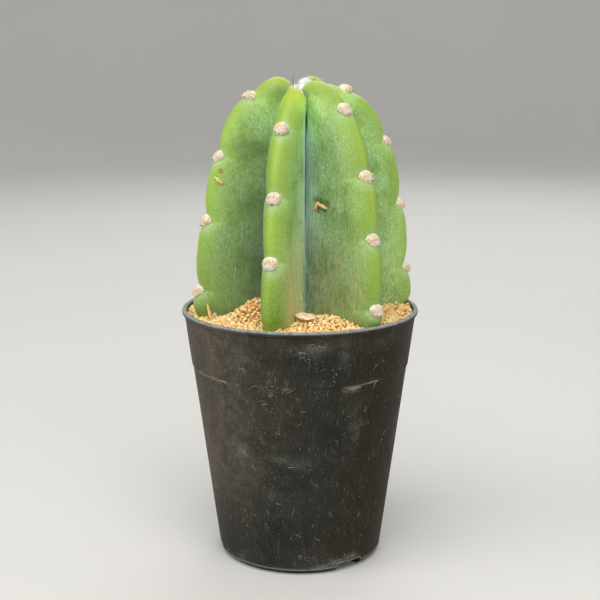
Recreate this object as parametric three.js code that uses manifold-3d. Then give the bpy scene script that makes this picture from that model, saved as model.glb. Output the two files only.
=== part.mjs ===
// A ribbed, spineless column cactus in a black nursery pot, filled with potting mix under tan grit.
// Millimetres, +Z up. The origin is the centre of the pot's foot, on the surface that it stands on.
// Azimuths are in degrees: 0 points along -Y, 90 along +X.
import * as THREE from "three";
import { mergeVertices } from "three/addons/utils/BufferGeometryUtils.js";
import Module from "manifold-3d";

const wasm = await Module();
wasm.setup();

// Pot
const POT_HEIGHT = 96.5;
const RIM_RADIUS = 45;
const BEAD_HEIGHT = 1.9;
const BEAD_OVERHANG = 0.9;
const BEAD_ROUND = 0.45;
const WALL = 0.9;
const FOOT_RADIUS = 29.2;
const CHAMFER_WIDTH = 2.3;
const CHAMFER_HEIGHT = 2.1;
const LEDGE_HEIGHT = 75;
const LEDGE_STEP = 0.35;
const LEDGE_SLOPE = 0.4;
const FOOT_RING_WIDTH = 2.4;
const FOOT_RING_SLOPE = 0.5;
const FLOOR_UNDERSIDE = 3.4;
const FLOOR = 1;
const FLOOR_CORNER = 1;
const NOTCH_AZIMUTHS = [37, 157, 277];
const NOTCH_WIDTH = 11;
const NOTCH_HEIGHT = 3.3;
const NOTCH_CORNER = 1.2;
const NOTCH_BELOW = 1;
const NOTCH_REACH_IN = 4;
const NOTCH_REACH_OUT = 4;
const NOTCH_SEGMENTS = 4;
const CENTRE_HOLE_RADIUS = 4.5;
const CENTRE_HOLE_SEGMENTS = 24;
const DRAIN_HOLE_RADIUS = 2.6;
const DRAIN_HOLE_SEGMENTS = 16;
const DRAIN_HOLE_CIRCLE = 17;
const DRAIN_HOLES = 6;
const SEGMENTS = 48;

// Net over the drainage holes
const NET_RADIUS = 27;
const NET_THICKNESS = 0.8;
const NET_PITCH = 7;
const NET_OPENING = 5;
const NET_BORDER = 1.6;

// Filling
const GAP = 0.35;
const GRIT_DEPTH_BASE = 80;
const MIX_BELOW_LEDGE = 1;
const GRIT_EDGE_HEIGHT = 94.9;
const GRIT_CROWN_RISE = 2.4;
const GRAIN_SIZE = 2.9;
const GRAIN_RISE = 1.2;
const GRAIN_RISE_SPREAD = 0.6;
const GRAIN_HOLLOW = 0.3;
const GRAIN_JITTER = 0.3;
const GRAIN_SEED = 11;
// Heaps of grit against the plant: place, extra height and spread
const HEAPS = [
  { x: -16, y: -17, rise: 6, spread: 7 },
  { x: 14, y: -25, rise: 1.9, spread: 8 },
  { x: 35, y: 2, rise: 1.1, spread: 7 },
  { x: -4, y: 31, rise: 1.6, spread: 9 },
];

// Plant: its axis at the grit, and how far the crown leans from it
const AXIS_X = 0.9;
const LEAN_X = 0.8;
const GRIT_LINE = 96;
// Each rib: azimuth at the grit and how far it turns up to the crown, extra reach at the base,
// how much lower its arch is, and, as distances along the crest from the crown, where its swelling
// reaches its full height and where its areoles sit
const RIBS = [
  { azimuth: -71, twist: -3, reach: 0.7, drop: -0.2, swollen: 30, areoles: [24.6, 48.9, 72.6, 98.6] },
  { azimuth: -17.3, twist: 0.3, reach: 0, drop: 2.6, swollen: 70, areoles: [35.3, 61.8, 84.3] },
  { azimuth: 39.5, twist: -4, reach: 1.2, drop: 0.6, swollen: 62, areoles: [29, 54.8, 77, 102.2] },
  { azimuth: 103, twist: -2, reach: 1, drop: 2.2, swollen: 30, areoles: [17.6, 43.9, 68.8, 93.6] },
  { azimuth: 162, twist: -3, reach: 0, drop: -0.2, swollen: 30, areoles: [31, 56.5, 80.5] },
  { azimuth: 224, twist: -1, reach: 0.2, drop: 1.3, swollen: 30, areoles: [24.5, 50, 74, 99] },
];
// The two front ribs, and how far the groove between them is turned from the middle between their crests
const FRONT_RIBS = [RIBS[1], RIBS[2]];
const FRONT_GROOVE_TURN = -7;
// Width of each rib's left and right half, as a share of the usual one: low down, then near the crown
const LOW_WIDTHS = [[1, 1], [0.8, 1], [1, 1], [1, 1], [1, 1], [1, 1]];
const HIGH_WIDTHS = [[1, 1], [1.08, 0.9], [1.3, 1], [1, 1], [1, 1], [1, 1]];
// Radius and height of a rib's crest and of the groove beside it, from the crown down to the buried base
const CREST = [
  [0, 176.8],
  [9.6, 182.2],
  [19.6, 176.4],
  [27.9, 165.5],
  [33.4, 149],
  [36.8, 130],
  [39, 110],
  [39.9, 96],
  [38.2, 83],
  [30, 72.5],
  [15.5, 67.5],
  [0, 66.5],
];
const GROOVE = [
  [0, 176.8],
  [3.6, 175],
  [6.6, 169.5],
  [9, 160],
  [10.8, 146],
  [12.6, 128],
  [14.8, 109],
  [16.2, 96],
  [16, 84],
  [13.5, 75],
  [8, 69.5],
  [0, 66.5],
];
const RIB_HALF_WIDTH = 5.2;
const CREST_ROUNDING = 7.5;
const CROWN_TAPER = 23;
const AREOLE_SPACING = 25;
const BULGE = 2.4;
const BULGE_SKEW = 0.62;
const BULGE_FLATNESS = 3;
const ROW_STEP = 3.1;
const BURIED_ROW_STEP = 8;
const FLANK_STEPS = [0, 0.06, 0.24, 0.6, 1];
const FLANK_FLARE = 2.2;
// The crown sits to the left of the axis, and its left side at the back keeps its place
const CROWN_SHIFT = 2.7;
const HELD_X = [-5, 1];
const HELD_Y = [-9, -4];
// Where each change to a rib's crest sets in and is complete: distances from the crown, heights or radii
const SWELLING_START = 4;
const BULGE_HEIGHTS = [GRIT_LINE - 3, GRIT_LINE + 5];
const WIDTH_HEIGHTS = [115, 165];
const TWIST_DISTANCES = [15, 60];
const SHIFT_DISTANCES = [6, 18];
const DROP_HEIGHTS = [152, 178];
const DROP_RADII = [0, 8];
const REACH_START_HEIGHTS = [60, GRIT_LINE];
const REACH_END_HEIGHTS = [120, 176];

// Areoles
const AREOLE_LENGTH = 2.75;
const AREOLE_WIDTH = 2.6;
const AREOLE_HEIGHT = 1.95;
const AREOLE_SEAT = 0.4;
const SLOPE_STEP = 0.5;

// Wool at the crown: each tuft's place, height and radius
const CROWN_TUFTS = [
  { x: 0.4, y: 0.4, height: 178.3, radius: 3.3 },
  { x: 1.2, y: 0.4, height: 180.4, radius: 2.4 },
  { x: 0.3, y: -4.4, height: 179, radius: 2.4 },
  { x: 2.1, y: 3.2, height: 179.6, radius: 2.3 },
  { x: -1.7, y: 2.6, height: 179.4, radius: 2.2 },
];
const WOOL_FLATTEN = 0.85;
const WOOL_DETAIL = 1;

// Dried husk on the grit
const HUSK_LENGTH = 7.3;
const HUSK_WIDTH = 3.6;
const HUSK_THICKNESS = 1.1;
const HUSK_CENTRE = [1.7, -28.3, 98.6];
const HUSK_TURN = -6;
const HUSK_TILT = 14;
const HUSK_SEGMENTS = 6;

// Points closer than this are one point
const WELD = 1e-4;

const degrees = THREE.MathUtils.degToRad;
const mix = THREE.MathUtils.lerp;
const smoothstep = THREE.MathUtils.smoothstep;

// Seeded random numbers from 0 to 1
function randomStream(seed) {
  const modulus = 2 ** 32;
  let state = seed;
  return () => {
    state = (state * 1664525 + 1013904223) % modulus;
    return state / modulus;
  };
}

// Solid modelling: a geometry as a closed solid, and back
function solid(geometry) {
  const plain = geometry.clone();
  plain.deleteAttribute("normal");
  plain.deleteAttribute("uv");
  const merged = mergeVertices(plain, WELD);
  const mesh = new wasm.Mesh({
    numProp: 3,
    vertProperties: new Float32Array(merged.attributes.position.array),
    triVerts: new Uint32Array(merged.index.array),
  });
  return new wasm.Manifold(mesh);
}

function geometryOf(body) {
  const mesh = body.getMesh();
  const geometry = new THREE.BufferGeometry();
  geometry.setAttribute("position", new THREE.BufferAttribute(new Float32Array(mesh.vertProperties), 3));
  geometry.setIndex(new THREE.BufferAttribute(new Uint32Array(mesh.triVerts), 1));
  geometry.computeVertexNormals();
  return geometry;
}

// A turned shape from its outline, [radius, height] pairs from the axis and back to it
function turned(outline, segments) {
  const points = outline.map(([radius, height]) => new THREE.Vector2(radius, height));
  return new THREE.LatheGeometry(points, segments).rotateX(Math.PI / 2);
}

function upright(radius, bottom, top, segments) {
  const cylinder = new THREE.CylinderGeometry(radius, radius, top - bottom, segments);
  return cylinder.rotateX(Math.PI / 2).translate(0, 0, (bottom + top) / 2);
}

function atAzimuth(azimuth, radius, height) {
  const angle = degrees(azimuth);
  return new THREE.Vector3(radius * Math.sin(angle), -radius * Math.cos(angle), height);
}

// The outer wall tapers in a straight line, and steps out a little at the ledge
function wallRadius(height) {
  const foot = FOOT_RADIUS + CHAMFER_WIDTH;
  const top = RIM_RADIUS - BEAD_OVERHANG;
  const rise = (height - CHAMFER_HEIGHT) / (POT_HEIGHT - BEAD_HEIGHT - CHAMFER_HEIGHT);
  const taper = mix(foot, top - LEDGE_STEP, rise);
  return height > LEDGE_HEIGHT ? taper + LEDGE_STEP : taper;
}

function insideRadius(height) {
  return wallRadius(height) - WALL;
}

function makePot() {
  const beadFoot = POT_HEIGHT - BEAD_HEIGHT;
  const mouth = RIM_RADIUS - BEAD_OVERHANG - WALL;
  const floorTop = FLOOR_UNDERSIDE + FLOOR;
  const footInside = FOOT_RADIUS - FOOT_RING_WIDTH;
  const ledgeTop = LEDGE_HEIGHT + LEDGE_SLOPE;
  const corner = floorTop + FLOOR_CORNER;
  const outline = [
    [0, FLOOR_UNDERSIDE],
    [footInside - FOOT_RING_SLOPE, FLOOR_UNDERSIDE],
    [footInside, 0],
    [FOOT_RADIUS, 0],
    [FOOT_RADIUS + CHAMFER_WIDTH, CHAMFER_HEIGHT],
    [wallRadius(LEDGE_HEIGHT), LEDGE_HEIGHT],
    [wallRadius(ledgeTop), ledgeTop],
    [RIM_RADIUS - BEAD_OVERHANG, beadFoot],
    [RIM_RADIUS, beadFoot + BEAD_ROUND],
    [RIM_RADIUS, POT_HEIGHT - BEAD_ROUND],
    [RIM_RADIUS - BEAD_ROUND, POT_HEIGHT],
    [mouth + BEAD_ROUND, POT_HEIGHT],
    [mouth, POT_HEIGHT - BEAD_ROUND],
    [insideRadius(ledgeTop), ledgeTop],
    [insideRadius(LEDGE_HEIGHT), LEDGE_HEIGHT],
    [insideRadius(corner), corner],
    [insideRadius(floorTop) - FLOOR_CORNER, floorTop],
    [0, floorTop],
  ];
  let body = solid(turned(outline, SEGMENTS));
  for (const azimuth of NOTCH_AZIMUTHS) body = body.subtract(solid(makeNotch(azimuth)));
  body = body.subtract(solid(upright(CENTRE_HOLE_RADIUS, 0, 2 * floorTop, CENTRE_HOLE_SEGMENTS)));
  for (let i = 0; i < DRAIN_HOLES; i++) {
    const centre = atAzimuth((360 * (i + 0.5)) / DRAIN_HOLES, DRAIN_HOLE_CIRCLE, 0);
    const hole = upright(DRAIN_HOLE_RADIUS, 0, 2 * floorTop, DRAIN_HOLE_SEGMENTS);
    body = body.subtract(solid(hole.translate(centre.x, centre.y, 0)));
  }
  return geometryOf(body);
}

// A low cut with round upper corners through the foot ring and the lower edge of the wall
function makeNotch(azimuth) {
  const half = NOTCH_WIDTH / 2;
  const inner = half - NOTCH_CORNER;
  const shoulder = NOTCH_HEIGHT - NOTCH_CORNER;
  const opening = new THREE.Shape();
  opening.moveTo(-half, -NOTCH_BELOW);
  opening.lineTo(half, -NOTCH_BELOW);
  opening.absarc(inner, shoulder, NOTCH_CORNER, 0, Math.PI / 2, false);
  opening.absarc(-inner, shoulder, NOTCH_CORNER, Math.PI / 2, Math.PI, false);
  const depth = NOTCH_REACH_IN + NOTCH_REACH_OUT;
  const options = { depth, bevelEnabled: false, curveSegments: NOTCH_SEGMENTS };
  const cut = new THREE.ExtrudeGeometry(opening, options);
  cut.rotateX(Math.PI / 2).translate(0, NOTCH_REACH_IN - FOOT_RADIUS, 0);
  return cut.rotateZ(degrees(azimuth));
}

function makeNet() {
  const bottom = FLOOR_UNDERSIDE + FLOOR + GAP;
  let net = solid(upright(NET_RADIUS, bottom, bottom + NET_THICKNESS, SEGMENTS));
  const half = NET_OPENING / 2;
  const reach = Math.floor(NET_RADIUS / NET_PITCH);
  for (let i = -reach; i <= reach; i++) {
    for (let j = -reach; j <= reach; j++) {
      const x = i * NET_PITCH;
      const y = j * NET_PITCH;
      if (Math.hypot(Math.abs(x) + half, Math.abs(y) + half) > NET_RADIUS - NET_BORDER) continue;
      const opening = new THREE.BoxGeometry(NET_OPENING, NET_OPENING, 4 * NET_THICKNESS);
      net = net.subtract(solid(opening.translate(x, y, bottom)));
    }
  }
  return geometryOf(net);
}

// The crest and the groove as smooth curves, walked by their distance along the crest from the crown
const crestCurve = new THREE.SplineCurve(CREST.map(([r, z]) => new THREE.Vector2(r, z)));
const grooveCurve = new THREE.SplineCurve(GROOVE.map(([r, z]) => new THREE.Vector2(r, z)));
crestCurve.arcLengthDivisions = 600;
const crestLength = crestCurve.getLength();

// The flesh swells out below each areole and draws in again towards the next
function swelling(rib, along) {
  const first = rib.areoles[0];
  const last = rib.areoles[rib.areoles.length - 1];
  const marks = [first - AREOLE_SPACING, ...rib.areoles, last + AREOLE_SPACING];
  const below = marks.findIndex((mark) => mark > along);
  if (below < 1) return 0;
  const phase = (along - marks[below - 1]) / (marks[below] - marks[below - 1]);
  return 1 - Math.abs(2 * phase ** BULGE_SKEW - 1) ** BULGE_FLATNESS;
}

function crestPoint(rib, along) {
  const t = crestCurve.getUtoTmapping(along / crestLength);
  const point = crestCurve.getPoint(t);
  const outward = crestCurve.getTangent(t);
  outward.set(-outward.y, outward.x);
  const aboveGrit = smoothstep(point.y, ...BULGE_HEIGHTS);
  const awayFromCrown = smoothstep(along, SWELLING_START, rib.swollen);
  const upperShare = smoothstep(point.y, ...DROP_HEIGHTS) * smoothstep(point.x, ...DROP_RADII);
  const lowerShare = 1 - smoothstep(point.y, ...REACH_END_HEIGHTS);
  point.addScaledVector(outward, BULGE * swelling(rib, along) * aboveGrit * awayFromCrown);
  point.x += rib.reach * lowerShare * smoothstep(point.y, ...REACH_START_HEIGHTS);
  point.y -= rib.drop * upperShare;
  return point;
}

function groovePoint(along) {
  return grooveCurve.getPoint(crestCurve.getUtoTmapping(along / crestLength));
}

function azimuthOf(rib, along) {
  return rib.azimuth + rib.twist * (1 - smoothstep(along, ...TWIST_DISTANCES));
}

// The turn from one azimuth to another, from -180 to 180
function turnBetween(from, to) {
  return ((to - from + 540) % 360) - 180;
}

// Half of the turn from a rib's crest to the next one's, moved to where the groove between them is
function halfTurnBetween(rib, next, along) {
  const half = turnBetween(azimuthOf(rib, along), azimuthOf(next, along)) / 2;
  const inFront = rib !== next && FRONT_RIBS.includes(rib) && FRONT_RIBS.includes(next);
  return degrees(inFront ? half + FRONT_GROOVE_TURN : half);
}

// Width of a rib's half towards the side of the turn, at a height of its crest
function halfWidthOf(rib, halfTurn, height) {
  const side = halfTurn > 0 ? 1 : 0;
  const low = LOW_WIDTHS[RIBS.indexOf(rib)][side];
  const high = HIGH_WIDTHS[RIBS.indexOf(rib)][side];
  return RIB_HALF_WIDTH * mix(low, high, smoothstep(height, ...WIDTH_HEIGHTS));
}

// How far a point of the flesh is moved with the crown
function crownShift(x, y, along) {
  const held = (1 - smoothstep(x, ...HELD_X)) * smoothstep(y, ...HELD_Y);
  return CROWN_SHIFT * (1 - smoothstep(along, ...SHIFT_DISTANCES)) * (1 - held);
}

// A point of the flesh, from the crest (inward 0) to the middle of the groove beside a rib (inward 1)
function fleshPoint(rib, next, along, inward, clearance) {
  const crest = crestPoint(rib, along);
  const groove = groovePoint(along);
  const azimuth = azimuthOf(rib, along);
  const halfTurn = halfTurnBetween(rib, next, along);
  const grooveRadius = groove.x + 2 * clearance;
  const ends = smoothstep(along, 0, CROWN_TAPER) * smoothstep(crestLength - along, 0, CROWN_TAPER);
  const halfWidth = halfWidthOf(rib, halfTurn, crest.y) * ends + clearance;
  const slope = new THREE.Vector2(crest.x - groove.x, crest.y - groove.y).normalize();
  crest.addScaledVector(slope, clearance);
  const radial = mix(crest.x, grooveRadius * Math.cos(halfTurn), inward);
  const height = mix(crest.y, groove.y, inward);
  const round = Math.min(Math.hypot(crest.x - radial, crest.y - height) / CREST_ROUNDING, 1);
  const cap = Math.sign(halfTurn) * halfWidth * Math.sqrt(1 - (1 - round) ** 2);
  const lateral = mix(cap, grooveRadius * Math.sin(halfTurn), inward ** FLANK_FLARE);
  const angle = degrees(azimuth);
  const lean = LEAN_X * smoothstep(height, GRIT_LINE, CREST[1][1]);
  const x = radial * Math.sin(angle) + lateral * Math.cos(angle) + AXIS_X + lean;
  const y = -radial * Math.cos(angle) + lateral * Math.sin(angle);
  return new THREE.Vector3(x - crownShift(x, y, along), y, height);
}

// Columns of the flesh's net: each rib's left flank, crest and right flank
function fleshColumns() {
  const columns = [];
  const last = FLANK_STEPS.length - 1;
  RIBS.forEach((rib, i) => {
    const left = RIBS[(i + RIBS.length - 1) % RIBS.length];
    const right = RIBS[(i + 1) % RIBS.length];
    for (let k = last; k > 0; k--) columns.push({ rib, next: left, inward: FLANK_STEPS[k] });
    for (let k = 0; k < last; k++) columns.push({ rib, next: right, inward: FLANK_STEPS[k] });
  });
  return columns;
}

// Distances along the crest of the rows of points from the crown to the base, wider apart in the grit
function fleshRows() {
  const rows = [];
  let along = ROW_STEP;
  while (along < crestLength - BURIED_ROW_STEP / 2) {
    rows.push(along);
    const shown = crestCurve.getPointAt(along / crestLength).y > GRIT_LINE - ROW_STEP;
    along += shown ? ROW_STEP : BURIED_ROW_STEP;
  }
  return rows;
}

function makeFlesh(clearance) {
  const columns = fleshColumns();
  const alongs = fleshRows();
  const rows = alongs.length + 1;
  const positions = [];
  const pointAt = (row, c) => {
    const { rib, next, inward } = columns[c];
    return fleshPoint(rib, next, alongs[row - 1], inward, clearance);
  };
  const crown = new THREE.Vector3(AXIS_X + LEAN_X - CROWN_SHIFT, 0, CREST[0][1] + clearance);
  const base = new THREE.Vector3(AXIS_X, 0, CREST[CREST.length - 1][1] - clearance);
  positions.push(...crown.toArray(), ...base.toArray());
  for (let row = 1; row < rows; row++) {
    for (let c = 0; c < columns.length; c++) positions.push(...pointAt(row, c).toArray());
  }
  const index = [];
  const vertex = (row, c) => 2 + (row - 1) * columns.length + (c % columns.length);
  for (let c = 0; c < columns.length; c++) {
    index.push(0, vertex(1, c), vertex(1, c + 1));
    for (let row = 1; row < rows - 1; row++) {
      const corners = [vertex(row, c), vertex(row + 1, c), vertex(row + 1, c + 1), vertex(row, c + 1)];
      index.push(corners[0], corners[1], corners[2], corners[0], corners[2], corners[3]);
    }
    index.push(1, vertex(rows - 1, c + 1), vertex(rows - 1, c));
  }
  const geometry = new THREE.BufferGeometry();
  geometry.setAttribute("position", new THREE.Float32BufferAttribute(positions, 3));
  geometry.setIndex(index);
  return geometry;
}

// A domed cushion of wool, seated across the crest in its notch
function makeAreole(rib, along, clearance) {
  const crestAt = (distance) => fleshPoint(rib, rib, distance, 0, 0);
  const seat = crestAt(along);
  const above = crestAt(along - SLOPE_STEP);
  const up = new THREE.Vector3().subVectors(above, crestAt(along + SLOPE_STEP)).normalize();
  const across = atAzimuth(azimuthOf(rib, along) + 90, 1, 0);
  const outward = new THREE.Vector3().crossVectors(across, up);
  const dome = new THREE.IcosahedronGeometry(1, WOOL_DETAIL);
  dome.scale(AREOLE_WIDTH + clearance, AREOLE_LENGTH + clearance, AREOLE_HEIGHT + clearance);
  dome.applyMatrix4(new THREE.Matrix4().makeBasis(across, up, outward));
  return dome.translate(...seat.addScaledVector(outward, AREOLE_SEAT).toArray());
}

function makeCactus(clearance) {
  let body = solid(makeFlesh(clearance));
  for (const rib of RIBS) {
    for (const along of rib.areoles) body = body.add(solid(makeAreole(rib, along, clearance)));
  }
  return body;
}

function makeCrownWool(hollow) {
  let body = null;
  for (const tuft of CROWN_TUFTS) {
    const ball = new THREE.IcosahedronGeometry(tuft.radius, WOOL_DETAIL).scale(1, 1, WOOL_FLATTEN);
    const lump = solid(ball.translate(tuft.x, tuft.y, tuft.height));
    body = body ? body.add(lump) : lump;
  }
  return body.subtract(hollow);
}

function makePottingMix(hollow) {
  const bottom = FLOOR_UNDERSIDE + FLOOR + GAP + NET_THICKNESS + GAP;
  const ledge = LEDGE_HEIGHT - MIX_BELOW_LEDGE;
  const outline = [
    [0, bottom],
    [insideRadius(bottom) - GAP, bottom],
    [insideRadius(ledge) - GAP, ledge],
    [insideRadius(GRIT_DEPTH_BASE) - GAP - LEDGE_STEP, GRIT_DEPTH_BASE],
    [0, GRIT_DEPTH_BASE],
  ];
  return geometryOf(solid(turned(outline, SEGMENTS)).subtract(hollow));
}

function gritHeight(x, y) {
  const share = Math.min(Math.hypot(x, y) / RIM_RADIUS, 1);
  let height = GRIT_EDGE_HEIGHT + GRIT_CROWN_RISE * (1 - share ** 2);
  for (const heap of HEAPS) {
    const distance = Math.hypot(x - heap.x, y - heap.y) / heap.spread;
    height += heap.rise * Math.exp(-(distance ** 2));
  }
  return height;
}

// The grit as a block with a grain raised on every third point of a staggered grid, by a seeded draw
function makeGritBlock() {
  const random = randomStream(GRAIN_SEED);
  const step = GRAIN_SIZE / Math.sqrt(3);
  const rowPitch = step * Math.sin(Math.PI / 3);
  const reach = Math.ceil((RIM_RADIUS + GRAIN_SIZE) / rowPitch);
  const side = 2 * reach + 1;
  const top = [];
  const bottom = [];
  for (let j = -reach; j <= reach; j++) {
    for (let i = -reach; i <= reach; i++) {
      const x = (i + (Math.abs(j) % 2) / 2 + (random() - 0.5) * GRAIN_JITTER) * step;
      const y = j * rowPitch + (random() - 0.5) * GRAIN_JITTER * step;
      const column = i - Math.floor(j / 2);
      const grain = (((column - j) % 3) + 3) % 3 === 0;
      const uneven = 1 + GRAIN_RISE_SPREAD * (random() - 0.5);
      const rise = grain ? GRAIN_RISE * uneven : -GRAIN_HOLLOW * random();
      top.push(x, y, gritHeight(x, y) + rise - GRAIN_RISE / 2);
      bottom.push(x, y, GRIT_DEPTH_BASE - 1);
    }
  }
  return blockBetween(top, bottom, side);
}

// A closed block from two square nets of points that lie above each other
function blockBetween(top, bottom, side) {
  const index = [];
  const under = side * side;
  const at = (i, j) => j * side + i;
  for (let j = 0; j < side - 1; j++) {
    for (let i = 0; i < side - 1; i++) {
      const [a, b, c, d] = [at(i, j), at(i + 1, j), at(i + 1, j + 1), at(i, j + 1)];
      const shifted = (j + Math.floor(side / 2)) % 2 === 1;
      const faces = shifted ? [a, b, c, a, c, d] : [a, b, d, b, c, d];
      index.push(...faces);
      for (let k = 0; k < 6; k += 3) {
        index.push(faces[k] + under, faces[k + 2] + under, faces[k + 1] + under);
      }
    }
  }
  const wall = (a, b) => index.push(a, a + under, b + under, a, b + under, b);
  for (let i = 0; i < side - 1; i++) {
    wall(at(i, 0), at(i + 1, 0));
    wall(at(i + 1, side - 1), at(i, side - 1));
    wall(at(0, i + 1), at(0, i));
    wall(at(side - 1, i), at(side - 1, i + 1));
  }
  const geometry = new THREE.BufferGeometry();
  geometry.setAttribute("position", new THREE.Float32BufferAttribute([...top, ...bottom], 3));
  geometry.setIndex(index);
  return geometry;
}

// Room for the grit: the inside of the pot, carried on above the rim
function makeMouth() {
  const bottom = GRIT_DEPTH_BASE + GAP;
  const top = 2 * POT_HEIGHT - GRIT_DEPTH_BASE;
  const outer = insideRadius(POT_HEIGHT - BEAD_HEIGHT) - GAP;
  const outline = [
    [0, bottom],
    [insideRadius(bottom) - GAP, bottom],
    [outer, POT_HEIGHT - BEAD_HEIGHT],
    [outer, top],
    [0, top],
  ];
  return solid(turned(outline, SEGMENTS));
}

function makeTopGrit(hollow, huskRoom) {
  const body = solid(makeGritBlock()).intersect(makeMouth()).subtract(hollow).subtract(huskRoom);
  const pieces = body.decompose();
  pieces.sort((a, b) => b.volume() - a.volume());
  return geometryOf(pieces[0]);
}

// A boat-shaped husk, hollowed along its length
function makeHusk(clearance) {
  const half = HUSK_LENGTH / 2 + clearance;
  const width = HUSK_WIDTH / 2 + clearance;
  const outline = new THREE.Shape();
  outline.moveTo(-half, 0);
  outline.quadraticCurveTo(0, -2 * width, half, 0);
  outline.quadraticCurveTo(0, 2 * width, -half, 0);
  const depth = HUSK_THICKNESS + 2 * clearance;
  const options = { depth, bevelEnabled: false, curveSegments: HUSK_SEGMENTS };
  const husk = new THREE.ExtrudeGeometry(outline, options);
  husk.translate(0, 0, -depth / 2).rotateX(degrees(HUSK_TILT)).rotateZ(degrees(HUSK_TURN));
  return husk.translate(...HUSK_CENTRE);
}

const MATERIALS = {
  pot: new THREE.MeshStandardMaterial({ color: 0x34342f, roughness: 0.62, metalness: 0 }),
  net: new THREE.MeshStandardMaterial({ color: 0x1c1c1c, roughness: 0.7, metalness: 0 }),
  mix: new THREE.MeshStandardMaterial({ color: 0x6a4a30, roughness: 0.95, metalness: 0 }),
  grit: new THREE.MeshStandardMaterial({ color: 0xdcae6c, roughness: 0.92, metalness: 0 }),
  flesh: new THREE.MeshStandardMaterial({ color: 0x7ba043, roughness: 0.5, metalness: 0 }),
  wool: new THREE.MeshStandardMaterial({ color: 0xf4efe6, roughness: 0.95, metalness: 0 }),
  husk: new THREE.MeshStandardMaterial({ color: 0xb98c64, roughness: 0.8, metalness: 0 }),
};

function named(name, geometry, material) {
  const mesh = new THREE.Mesh(geometry, material);
  mesh.name = name;
  return mesh;
}

function makePottedCactus() {
  const hollow = makeCactus(GAP);
  const hollowForWool = hollow.add(hollow.translate(0, 0, GAP));
  const group = new THREE.Group();
  group.add(named("pot", makePot(), MATERIALS.pot));
  group.add(named("drainage_net", makeNet(), MATERIALS.net));
  group.add(named("potting_mix", makePottingMix(hollow), MATERIALS.mix));
  group.add(named("top_grit", makeTopGrit(hollow, solid(makeHusk(GAP))), MATERIALS.grit));
  group.add(named("cactus", geometryOf(makeCactus(0)), MATERIALS.flesh));
  group.add(named("crown_wool", geometryOf(makeCrownWool(hollowForWool)), MATERIALS.wool));
  group.add(named("husk", makeHusk(0), MATERIALS.husk));
  return group;
}

export default makePottedCactus();
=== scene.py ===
import math

import bmesh
import bpy
import numpy as np
from mathutils import Matrix, Vector
from mathutils.bvhtree import BVHTree


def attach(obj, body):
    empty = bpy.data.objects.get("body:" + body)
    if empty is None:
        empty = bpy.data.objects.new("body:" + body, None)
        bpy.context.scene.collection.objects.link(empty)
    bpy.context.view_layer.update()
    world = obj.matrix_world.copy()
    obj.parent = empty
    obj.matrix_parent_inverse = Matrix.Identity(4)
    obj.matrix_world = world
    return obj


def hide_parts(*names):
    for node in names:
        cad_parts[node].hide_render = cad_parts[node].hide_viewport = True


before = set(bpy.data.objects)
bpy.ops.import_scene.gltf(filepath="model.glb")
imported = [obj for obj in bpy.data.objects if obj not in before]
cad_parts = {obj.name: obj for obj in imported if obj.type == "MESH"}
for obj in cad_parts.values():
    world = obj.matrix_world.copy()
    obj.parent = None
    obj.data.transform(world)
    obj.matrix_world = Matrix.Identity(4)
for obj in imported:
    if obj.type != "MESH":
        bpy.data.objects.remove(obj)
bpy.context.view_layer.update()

# Lengths are in millimetres up to the meshes, which are in metres. Azimuth 0 points along -Y, 90 along +X.
MM = 0.001

# Pot
POT_HEIGHT = 96.5
RIM_RADIUS = 45
BEAD_HEIGHT = 1.9
BEAD_OVERHANG = 0.9
BEAD_ROUNDING = 0.62
WALL = 0.9
FOOT_RADIUS = 29.2
CHAMFER_WIDTH = 2.3
CHAMFER_HEIGHT = 2.1
LEDGE_HEIGHT = 75
LEDGE_STEP = 0.35
FOOT_RING_WIDTH = 2.4
FLOOR_UNDERSIDE = 3.4
FLOOR_TOP = 4.4
NOTCH_AZIMUTHS = (37, 157, 277)
NOTCH_WIDTH = 11
NOTCH_HEIGHT = 3.3
NOTCH_CORNER = 1.2
CENTRE_HOLE_RADIUS = 4.5
DRAIN_HOLE_RADIUS = 2.6
DRAIN_HOLE_CIRCLE = 17
DRAIN_HOLES = 6
POT_SEGMENTS = 360

# Grit
GRIT_BASE = 80.4
GRIT_EDGE_HEIGHT = 94.9
GRIT_CROWN_RISE = 2.4
HEAPS = ((-16, -17, 6, 7), (14, -25, 1.9, 8), (35, 2, 1.1, 7), (-4, 31, 1.6, 9))  # x, y, rise and spread

# Plant
AXIS_X = 0.9
LEAN_X = 0.8
GRIT_LINE = 96
RIBS = (  # azimuth, twist, reach, drop, where the swelling is full, areoles
    (-71, -3, 0.7, -0.2, 30, (24.6, 48.9, 72.6, 98.6)),
    (-17.3, 0.3, 0, 2.6, 70, (35.3, 61.8, 84.3)),
    (39.5, -4, 1.2, 0.6, 62, (29, 54.8, 77, 102.2)),
    (103, -2, 1, 2.2, 30, (17.6, 43.9, 68.8, 93.6)),
    (162, -3, 0, -0.2, 30, (31, 56.5, 80.5)),
    (224, -1, 0.2, 1.3, 30, (24.5, 50, 74, 99)),
)
TWIST_DISTANCES = (15, 60)
GROOVE_TURN = -7
RIB_WIDTHS = {  # of the left and right half of the ribs that differ, low down and near the crown
    1: ((0.8, 1), (1, 0.92)),
    2: ((1, 1.3), (1, 1)),
}
WIDTH_HEIGHTS = (115, 165)
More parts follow.
